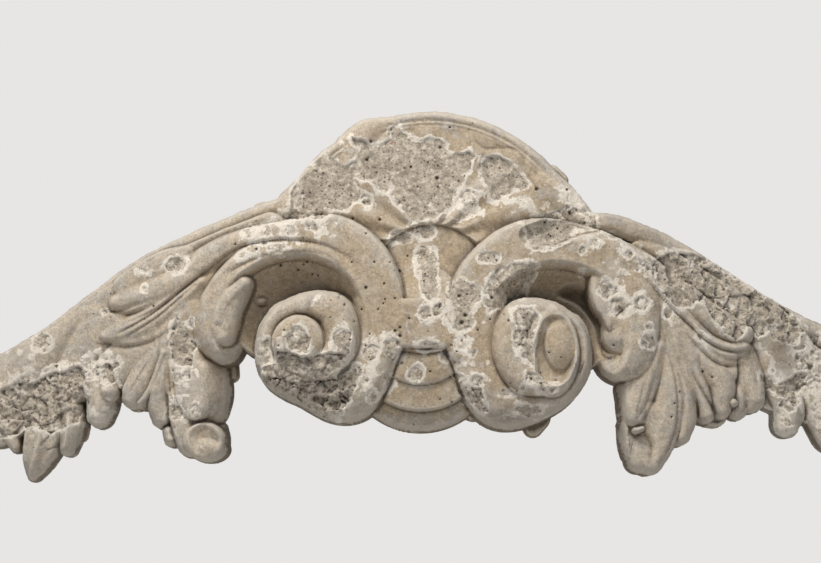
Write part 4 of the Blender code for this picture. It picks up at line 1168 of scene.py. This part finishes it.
chips(relief, 
    [(-469, 5, 11.0, 12.2), (-384, -37, 9.7, 10.9), (-300, 96, 12.1, 9.7), (-341, 90, 4.9, 3.7),
     (-340, 67, 3.6, 3.6), (-389, 41, 3.7, 3.7), (-297, -40, 4.8, 4.8), (-284, -38, 4.8, 4.8),
     (-299, -82, 9.6, 8.4), (-304, -98, 7.2, 10.8), (-275, -81, 4.8, 7.2),
     (-409, -27, 4.9, 9.7)], depth=2.0, grit=1.0
)
crack(relief, [(-475, -52), (-468, -44), (-460, -37)])
crack(relief, [(-465, -121), (-461, -115), (-455, -109)])
crack(relief, [(-458, -127), (-446, -122)])
crack(relief, [(-311, -1), (-304, 13)])

# %% Breaks on the right arm
flake(relief, 
    [(277, 100), (287, 107), (302, 112), (337, 111), (357, 99), (374, 90), (405, 67), (430, 55),
     (449, 41), (458, 29), (460, 16), (456, 1), (441, 2), (428, 8), (422, 18), (409, 10), (399, 24),
     (390, 18), (379, 5), (361, 17), (349, 32), (338, 50), (331, 51), (320, 44), (303, 46),
     (290, 58), (280, 70), (276, 83)], depth=3.6, grit=1.3, lumps=2.2
)
flake(relief, 
    [(409, -36), (421, -38), (432, -46), (443, -42), (453, -35), (466, -32), (473, -42), (465, -52),
     (455, -58), (456, -69), (445, -73), (438, -62), (428, -63), (422, -53),
     (412, -50)], depth=2.4, grit=1.6, lumps=1.6, white=0.5
)
erode(relief, 
    [(475, -8, 27, 0.85), (478, -48, 27, 0.8), (466, -72, 20, 0.7), (477, -78, 24, 0.8),
     (448, 25, 24, 0.8), (416, 0, 15, 0.3), (438, -96, 19, 0.7), (424, -76, 15, 0.6),
     (416, -57, 17, 0.5), (445, -71, 19, 0.6), (431, -33, 17, 0.5),
     (459, -24, 17, 0.6)], depth=2.0, grit=1.4
)
erode(relief, 
    [(226, 61, 17, 0.65), (254, 49, 13, 0.6), (202, 122, 22, 0.5), (242, 110, 29, 0.35),
     (276, 92, 22, 0.7), (334, 5, 15, 0.3), (299, 33, 11, 0.6)], depth=1.8, grit=1.4
)
smear(relief, 
    [(221, 66, 18.0), (238, 52, 16.8), (266, 50, 14.4), (209, 76, 10.8), (271, 104, 17.0),
     (249, 113, 14.5), (279, 77, 10.9), (335, 54, 14.6), (390, 21, 17.0), (422, 15, 14.6),
     (454, 7, 12.2), (474, -32, 14.7), (445, -69, 14.6), (433, -81, 9.7), (371, 55, 14.6),
     (297, 113, 14.6), (325, 101, 12.2), (272, 1, 15.6), (272, 18, 8.4)]
)
chips(relief, 
    [(218, 64, 8.4, 10.8), (235, 44, 10.8, 12.0), (261, 48, 9.6, 8.4), (296, 37, 4.8, 8.4),
     (271, 19, 3.6, 3.6), (479, 10, 4.9, 6.1), (270, 1, 8.4, 8.4)], depth=2.0, grit=0.9
)
pits(relief, 
    [(337, -33, 2.4), (348, -40, 1.9), (228, -2, 1.9), (308, -58, 1.9), (301, -72, 1.7),
     (297, -88, 1.7)]
)
crack(relief, [(231, 32), (237, 38), (246, 46)], depth=3.0)
relief.hollow([(299, 101, 4, 60), (301, 89, 6, 58), (304, 78, 5, 61)], rise=6, blend=2)
print("broken share of the grid", round(float((relief.broken > 0).mean()), 3))

# %% [markdown]
# ## From the grid to a closed body
#
# The grid is stood on a backing that reaches behind the wall and then cut flat along it, which
# leaves one closed body. The walls of the deep forms have few points, so their long edges are split
# before they are roughened. The even grid holds far more triangles than the form needs, and a
# Decimate modifier takes away those that lie in smooth places.

# %% The closed body
def solid_mesh(relief):
    """Stand the relief on a backing, cut it flat along the wall and close the cut."""
    columns, rows = relief.x.shape
    shape = bmesh.new()
    bmesh.ops.create_grid(shape, x_segments=columns - 1, y_segments=rows - 1, size=0.5)
    for vertex in shape.verts:
        column = round((vertex.co.x + 0.5) * (columns - 1))
        row = round((vertex.co.y + 0.5) * (rows - 1))
        vertex.co = (
            relief.x[column, row] / 1000,
            -relief.height[column, row] / 1000,
            relief.z[column, row] / 1000,
        )
    border = [edge for edge in shape.edges if edge.is_boundary]
    pushed = bmesh.ops.extrude_edge_only(shape, edges=border)["geom"]
    for vertex in (piece for piece in pushed if isinstance(piece, bmesh.types.BMVert)):
        vertex.co.y = BACKING / 1000
    bmesh.ops.contextual_create(shape, geom=[edge for edge in shape.edges if edge.is_boundary])
    everything = shape.verts[:] + shape.edges[:] + shape.faces[:]
    cut = bmesh.ops.bisect_plane(
        shape, geom=everything, plane_co=(0, 0, 0), plane_no=(0, 1, 0), clear_outer=True
    )
    rim = [piece for piece in cut["geom_cut"] if isinstance(piece, bmesh.types.BMEdge)]
    bmesh.ops.holes_fill(shape, edges=rim)
    bmesh.ops.recalc_face_normals(shape, faces=shape.faces[:])
    return shape


shape = solid_mesh(relief)
print("body:", len(shape.verts), "vertices")

# %% Split the long edges of the walls
LONGEST_EDGE = 0.0036
PIT_DEPTH = 2.6
for _ in range(3):
    long_edges = [
        edge
        for edge in shape.edges
        if edge.calc_length() > LONGEST_EDGE and max(point.co.y for point in edge.verts) < -0.0005
    ]
    bmesh.ops.subdivide_edges(shape, edges=long_edges, cuts=1)
    print("split", len(long_edges), "edges")


# %% Sink the blow holes in a finer mesh
def pit_share(x, z, rows, reach=1.0):
    """How far inside a blow hole each place is, from 0 outside to 1 at its middle."""
    share = np.zeros(len(x))
    for px, pz, radius in rows:
        close = (np.abs(x - px) < 3 * radius) & (np.abs(z - pz) < 3 * radius)
        away = np.hypot(x[close] - px, z[close] - pz) / (radius * reach)
        share[close] = np.maximum(share[close], np.exp(-(away**4)))
    return share


def corner_places(shape):
    return np.array([vertex.co[:] for vertex in shape.verts]) * 1000


for _ in range(2):
    corners = corner_places(shape)
    near = (pit_share(corners[:, 0], corners[:, 2], relief.pits, 1.6) > 0.2) & (corners[:, 1] < -20)
    shape.verts.index_update()
    picked = [edge for edge in shape.edges if all(near[point.index] for point in edge.verts)]
    bmesh.ops.subdivide_edges(shape, edges=picked, cuts=1, use_grid_fill=True)
    print("refined", len(picked), "edges round", len(relief.pits), "blow holes")
corners = corner_places(shape)
holes = pit_share(corners[:, 0], corners[:, 2], relief.pits) * (corners[:, 1] < -20)
for vertex, share in zip(shape.verts, holes):
    vertex.co.y += PIT_DEPTH / 1000 * share
crest_mesh = bpy.data.meshes.new("crest")
shape.to_mesh(crest_mesh)
shape.free()
crest = bpy.data.objects.new("crest", crest_mesh)
bpy.context.scene.collection.objects.link(crest)

# %% Roughen the stone a little, everywhere but on the cut faces
def vertex_array(mesh, kind="co"):
    values = np.empty(len(mesh.vertices) * 3, np.float32)
    source = mesh.vertices if kind == "co" else mesh.vertex_normals
    source.foreach_get("co" if kind == "co" else "vector", values)
    return values.reshape(-1, 3).astype(float)


def on_cut_faces(places):
    """Which vertices lie on the wall side or on one of the two square ends."""
    across, depth = places[:, 0] * 1000, places[:, 1] * 1000
    return (depth > -0.1) | (across < LEFT_END + 0.1) | (across > RIGHT_END - 0.1)


places = vertex_array(crest_mesh)
normals = vertex_array(crest_mesh, "normal")
sideways = np.clip(1.3 - 1.6 * np.abs(normals[:, 1]), 0, 1)
swell = 0.9 * sideways * rough(places * 1000, 22.0, 3, seed=61)
wear = (0.16 + 0.35 * sideways) * rough(places * 1000, 5.0, 2, seed=71)
shift = (swell + wear) * ~on_cut_faces(places)
places += normals * shift[:, None] / 1000
places[:, 0] = np.clip(places[:, 0], LEFT_END / 1000, RIGHT_END / 1000)
places[:, 1] = np.minimum(places[:, 1], 0)
crest_mesh.vertices.foreach_set("co", places.astype(np.float32).ravel())
crest_mesh.update()
print("roughened by up to", round(float(np.abs(shift).max()), 2), "mm")

# %% Take away the triangles that the form doesn't need
MOST_TRIANGLES = 196000
FLAT_TOLERANCE = 0.15
triangles = sum(len(face.vertices) - 2 for face in crest_mesh.polygons)
thin = crest.modifiers.new("thin", "DECIMATE")
thin.use_collapse_triangulate = True
thin.ratio = min(1, MOST_TRIANGLES / triangles)
evaluated = crest.evaluated_get(bpy.context.evaluated_depsgraph_get())
crest_mesh = bpy.data.meshes.new_from_object(evaluated)
crest.modifiers.clear()
crest.data = crest_mesh
places = vertex_array(crest_mesh)
for axis, level in ((1, 0), (0, LEFT_END / 1000), (0, RIGHT_END / 1000)):
    flat = np.abs(places[:, axis] - level) < FLAT_TOLERANCE / 1000
    places[flat, axis] = level
places = np.clip(places, *cad_box)
crest_mesh.vertices.foreach_set("co", places.astype(np.float32).ravel())
crest_mesh.update()
crest_mesh.shade_smooth()
print(triangles, "triangles thinned to", len(crest_mesh.polygons))

# %% [markdown]
# ## Notes for the material
#
# A grid of 1.25 mm is finer than the triangles in places, so colour isn't painted on vertices. Each
# vertex keeps smooth measures instead: its distance into a break, how far it stands out from the
# stone around it, and how dark it is made, where pits, clefts and some undersides get painted shade,
# cracks and stains their colour, and upward faces a darkening. The material sharpens them with its own noise.

# %% Read and store
def read(field, places):
    """A grid field's value at each vertex, from its four nearest grid points."""
    spread = (np.array(field.shape) - 1) / (RIGHT_END - LEFT_END, HIGHEST - LOWEST)
    spot = (places[:, (0, 2)] * 1000 - (LEFT_END, LOWEST)) * spread
    cell = np.clip(np.floor(spot).astype(int), 0, np.array(field.shape) - 2)
    part = np.clip(spot - cell, 0, 1)
    total = 0
    for across, up in itertools.product((0, 1), repeat=2):
        share = np.where(across, part[:, 0], 1 - part[:, 0]) * np.where(up, part[:, 1], 1 - part[:, 1])
        total = total + share * field[cell[:, 0] + across, cell[:, 1] + up]
    return total


def store(mesh, name, values):
    note = mesh.attributes.new(name, "FLOAT", "POINT")
    note.data.foreach_set("value", values.astype(np.float32))
    print(name, "from", round(float(values.min()), 2), "to", round(float(values.max()), 2))


UPWARD_DARKENING = 0.3
standing = np.maximum(relief.height, 20)
places = vertex_array(crest_mesh)
in_front = places[:, 1] < -0.0001
store(crest_mesh, "broken", np.where(in_front, read(np.clip(relief.broken, -12, 12), places), -12))
# Painted shade: the blow holes are painted dark.
holes = pit_share(places[:, 0] * 1000, places[:, 2] * 1000, relief.pits)
# Faces that turn upward are made darker, by how far they turn up.
upward_darkening = UPWARD_DARKENING * np.clip(vertex_array(crest_mesh, "normal")[:, 2] - 0.25, 0, 1)
store(crest_mesh, "dark", np.maximum(read(relief.dark, places), holes) + upward_darkening * (1 - holes))
store(crest_mesh, "film", in_front * read(relief.film, places))
for name, reach, most in (("fine_relief", 2.2, 4), ("broad_relief", 13, 25)):
    field = np.clip(standing - blurred(standing, reach), -most, most)
    store(crest_mesh, name, in_front * read(field, places))

# %% [markdown]
# ## The stone
#
# One material makes all of it. The skin is ochre cream with fine grain, paler where it stands out
# and browner in hollows, partly its own tint and partly painted shade. Inside a break the stone is
# grey and gritty, with pores painted dark as shade, and round the break runs the white crust.

# %% Helpers for shader nodes
def node(tree, kind, **settings):
    """A new node, with its options set by name."""
    made = tree.nodes.new(kind)
    for name, value in settings.items():
        setattr(made, name, value)
    return made


def feed(tree, target, **sources):
    """Set or link input sockets: a socket is linked, anything else is a plain value."""
    for name, source in sources.items():
        socket = target.inputs[int(name[1:])] if name[0] == "_" else target.inputs[name]
        if isinstance(source, bpy.types.NodeSocket):
            tree.links.new(source, socket)
        else:
            socket.default_value = source
    return target


def maths(tree, operation, first, second=0.0, clamp=False):
    made = node(tree, "ShaderNodeMath", operation=operation, use_clamp=clamp)
    return feed(tree, made, _0=first, _1=second).outputs[0]


def between(tree, value, low, high, start=0.0, end=1.0):
    """The value moved from one range to another, with soft ends."""
    made = node(tree, "ShaderNodeMapRange", interpolation_type="SMOOTHSTEP")
    return feed(tree, made, _0=value, _1=low, _2=high, _3=start, _4=end).outputs[0]


def blend_colours(tree, share, first, second, how="MIX"):
    made = node(tree, "ShaderNodeMix", data_type="RGBA", blend_type=how)
    return feed(tree, made, _0=share, _6=first, _7=second).outputs[2]


def noise(tree, place, scale, detail=3.0, roughness=0.6):
    made = node(tree, "ShaderNodeTexNoise")
    feed(tree, made, Vector=place, Scale=scale, Detail=detail, Roughness=roughness)
    return made.outputs[0]


def new_group(name, inputs, outputs):
    """An empty node group with named float inputs and typed outputs."""
    group = bpy.data.node_groups.new(name, "ShaderNodeTree")
    for label, kind in inputs.items():
        group.interface.new_socket(label, in_out="INPUT", socket_type=kind)
    for label, kind in outputs.items():
        group.interface.new_socket(label, in_out="OUTPUT", socket_type=kind)
    return group, node(group, "NodeGroupInput"), node(group, "NodeGroupOutput")


VALUE, COLOUR, PLACE = "NodeSocketFloat", "NodeSocketColor", "NodeSocketVector"

# %% Shades and specks that every surface uses
def shaded(tree, colour, value, low, high, dark, light):
    """The colour made darker or lighter by a value that runs from low to high."""
    shade = between(tree, value, low, high, dark, light)
    grey = feed(tree, node(tree, "ShaderNodeCombineColor"), Red=shade, Green=shade, Blue=shade)
    return blend_colours(tree, 1.0, colour, grey.outputs[0], "MULTIPLY")


def specks(tree, place, scale, radius, share):
    """Scattered round dots: their radius in cells, and which share of the cells has one."""
    dots = feed(tree, node(tree, "ShaderNodeTexVoronoi"), Vector=place, Scale=scale)
    lot = feed(tree, node(tree, "ShaderNodeSeparateColor"), Color=dots.outputs["Color"]).outputs["Red"]
    seen = between(tree, dots.outputs["Distance"], radius, radius * 0.6)
    return maths(tree, "MULTIPLY", seen, between(tree, lot, share + 0.02, share))


# %% The skin
def skin_group():
    """The smooth cast skin: ochre in hollows, partly its tint and partly painted shade; paler where it stands
    out; finely grained.
    """
    group, given, result = new_group(
        "cast_skin", {"Place": PLACE, "Shelter": VALUE}, {"Colour": COLOUR, "Height": VALUE}
    )
    place, hollow_tint_and_shade = given.outputs[:2]
    drift = noise(group, place, 7.0, 4.0)
    patch = noise(group, place, 42.0, 6.0, 0.65)
    mottle = noise(group, place, 130.0, 5.0, 0.7)
    grain = noise(group, place, 420.0, 4.0, 0.75)
    across = feed(group, node(group, "ShaderNodeSeparateXYZ"), Vector=place).outputs["X"]
    inward = between(group, maths(group, "ABSOLUTE", across), 0.33, 0.17, 0.0, 11.0)
    # Hollows turn ochre and darker: partly the skin's own tint, partly painted shade.
    warm = maths(group, "ADD", maths(group, "ADD", hollow_tint_and_shade, inward), maths(group, "MULTIPLY", drift, 24.0))
    ochre = between(group, warm, 9.0, 24.0)
    colour = blend_colours(group, ochre, SKIN_CREAM, SKIN_OCHRE)
    grey = between(group, maths(group, "SUBTRACT", patch, maths(group, "MULTIPLY", ochre, 0.1)), 0.44, 0.6)
    colour = blend_colours(group, maths(group, "MULTIPLY", grey, 0.75), colour, SKIN_GREY)
    colour = shaded(group, colour, mottle, 0.3, 0.7, 0.80, 1.15)
    colour = shaded(group, colour, grain, 0.28, 0.72, 0.74, 1.24)
    dust = between(group, maths(group, "ADD", patch, maths(group, "MULTIPLY", mottle, 0.8)), 0.98, 1.2)
    colour = blend_colours(group, maths(group, "MULTIPLY", dust, 0.45), colour, FILM)
    fleck = specks(group, place, 190.0, 0.24, 0.22)
    colour = blend_colours(group, maths(group, "MULTIPLY", fleck, 0.5), colour, CRUST)
    # Pinholes and pores dent the bump, and are painted dark as the shade inside them.
    pinhole = specks(group, place, 95.0, 0.085, 0.55)
    pore = specks(group, place, 52.0, 0.075, 0.45)
    hole = maths(group, "MAXIMUM", maths(group, "MULTIPLY", pinhole, 0.7), pore)
    colour = blend_colours(group, maths(group, "MULTIPLY", hole, 0.85), colour, SHADE_AND_STAIN_DARK)
    height = maths(group, "SUBTRACT", maths(group, "MULTIPLY", grain, 0.6), hole)
    height = maths(group, "ADD", height, maths(group, "MULTIPLY", mottle, 0.7))
    feed(group, result, Colour=colour, Height=height)
    return group


# %% The broken stone
def broken_group():
    """Gritty stone with pores painted dark as the shade inside them, pale grains and a few red ones."""
    group, given, result = new_group(
        "broken_stone", {"Place": PLACE}, {"Colour": COLOUR, "Height": VALUE}
    )
    place = given.outputs[0]
    tone = noise(group, place, 48.0, 6.0, 0.7)
    clot = noise(group, place, 150.0, 4.0, 0.7)
    grit = noise(group, place, 420.0, 4.0, 0.8)
    colour = blend_colours(group, between(group, tone, 0.36, 0.6), BROKEN_GREY, BROKEN_PALE)
    colour = shaded(group, colour, clot, 0.3, 0.7, 0.68, 1.2)
    colour = shaded(group, colour, grit, 0.28, 0.72, 0.6, 1.34)
    # Pores and gaps dent the bump, and are painted dark as the shade inside them.
    pore = specks(group, place, 230.0, 0.34, 0.3)
    gap = specks(group, place, 120.0, 0.24, 0.3)
    hole = maths(group, "MAXIMUM", maths(group, "MULTIPLY", pore, 0.75), gap)
    colour = blend_colours(group, maths(group, "MULTIPLY", hole, 0.8), colour, SHADE_AND_STAIN_DARK)
    pale = specks(group, place, 150.0, 0.3, 0.24)
    colour = blend_colours(group, maths(group, "MULTIPLY", pale, 0.7), colour, CRUST)
    red = specks(group, place, 75.0, 0.17, 0.025)
    colour = blend_colours(group, maths(group, "MULTIPLY", red, 0.7), colour, RED_GRAIN)
    height = maths(group, "SUBTRACT", maths(group, "ADD", grit, clot), hole)
    feed(group, result, Colour=colour, Height=height)
    return group


# %% The edge of a break
def edge_group():
    """Sharpens the distance into a break into masks: the bare stone, the crust and the film round it."""
    group, given, result = new_group(
        "break_edge",
        {"Place": PLACE, "Distance": VALUE, "Smear": VALUE},
        {"Broken": VALUE, "Crust": VALUE, "Film": VALUE},
    )
    place, distance, smear = given.outputs[:3]
    jagged = maths(group, "SUBTRACT", noise(group, place, 240.0, 4.0, 0.7), 0.5)
    distance = maths(group, "ADD", distance, maths(group, "MULTIPLY", jagged, 4.0))
    wide = noise(group, place, 58.0, 4.0, 0.65)
    deep = noise(group, place, 85.0, 3.0, 0.65)
    outer = between(group, wide, 0.36, 0.66, 0.0, -6.0)
    inner = between(group, deep, 0.42, 0.7, 0.5, 6.0)
    starts = between(group, maths(group, "SUBTRACT", distance, outer), -1.2, 0.8)
    ends = between(group, maths(group, "SUBTRACT", distance, inner), 0.8, -1.0)
    crust = maths(group, "MULTIPLY", starts, ends)
    blotch = between(group, maths(group, "ADD", smear, noise(group, place, 75.0, 5.0, 0.7)), 1.08, 1.22)
    crust = maths(group, "MAXIMUM", crust, blotch)
    broken = between(group, distance, 0.0, 0.9)
    near = between(group, distance, -17.0, -2.0)
    veil = between(group, noise(group, place, 33.0, 5.0, 0.7), 0.47, 0.62)
    film = maths(group, "MULTIPLY", maths(group, "MULTIPLY", near, veil), 0.6)
    feed(group, result, Broken=broken, Crust=crust, Film=film)
    return group


# %% Put the stone together
SKIN_CREAM = (0.477, 0.411, 0.32, 1.0)
SKIN_OCHRE = (0.401, 0.32, 0.22, 1.0)
SKIN_GREY = (0.382, 0.349, 0.301, 1.0)
FILM = (0.56, 0.515, 0.445, 1)
BROKEN_GREY = (0.371, 0.318, 0.249, 1.0)
BROKEN_PALE = (0.519, 0.456, 0.366, 1.0)
CRUST = (0.70, 0.645, 0.555, 1)
# Near-black brown: painted shade in pores, pits, clefts and fine creases, and the colour of cracks and stains.
SHADE_AND_STAIN_DARK = (0.06, 0.048, 0.036, 1)
RED_GRAIN = (0.27, 0.06, 0.035, 1)


def note_value(tree, name):
    return node(tree, "ShaderNodeAttribute", attribute_name=name).outputs["Fac"]


def placed_group(tree, group, **sources):
    made = node(tree, "ShaderNodeGroup")
    made.node_tree = group
    return feed(tree, made, **sources).outputs


def weathered_stone():
    stone = bpy.data.materials.new("weathered_cast_stone")
    stone.use_nodes = True
    tree = stone.node_tree
    place = node(tree, "ShaderNodeTexCoord").outputs["Object"]
    # The broad hollows feed the skin's ochre: partly its own tint, partly painted shade.
    hollow_tint_and_shade = maths(tree, "MULTIPLY", note_value(tree, "broad_relief"), -1.0)
    skin = placed_group(tree, skin_group(), Place=place, Shelter=hollow_tint_and_shade)
    broken = placed_group(tree, broken_group(), Place=place)
    edge = placed_group(
        tree, edge_group(), Place=place, Distance=note_value(tree, "broken"), Smear=note_value(tree, "film")
    )
    colour = blend_colours(tree, edge["Film"], skin["Colour"], FILM)
    colour = blend_colours(tree, edge["Broken"], colour, broken["Colour"])
    fine_grain = noise(tree, place, 420.0, 3.0, 0.7)
    crust = shaded(tree, CRUST, fine_grain, 0.3, 0.7, 0.82, 1.12)
    colour = blend_colours(tree, edge["Crust"], colour, crust)
    # Painted shade: the fine creases and grooves, where the fine relief dips, are darkened.
    crease_shade = between(tree, note_value(tree, "fine_relief"), -0.3, -2.2, 0.0, 0.6)
    colour = blend_colours(tree, crease_shade, colour, SHADE_AND_STAIN_DARK)
    # The dark note: pits, clefts and some undersides painted as shade, cracks and stains as colour, and upward
    # faces darkened.
    colour = blend_colours(tree, note_value(tree, "dark"), colour, SHADE_AND_STAIN_DARK)
    worn = between(tree, note_value(tree, "fine_relief"), 0.15, 1.0, 0.0, 0.35)
    colour = blend_colours(tree, worn, colour, FILM)
    height = feed(tree, node(tree, "ShaderNodeMix"), _0=edge["Broken"], _2=skin["Height"], _3=broken["Height"])
    bump = feed(
        tree, node(tree, "ShaderNodeBump"), Strength=0.8, Distance=0.0012, Height=height.outputs[0]
    )
    shader = tree.nodes["Principled BSDF"]
    feed(tree, shader, Normal=bump.outputs[0], Roughness=0.9)
    feed(tree, shader, **{"Base Color": colour})
    return stone


crest_mesh.materials.clear()
crest_mesh.materials.append(weathered_stone())

# %% Fix the crest to the frame
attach(crest, "root")
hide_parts("cartouche")
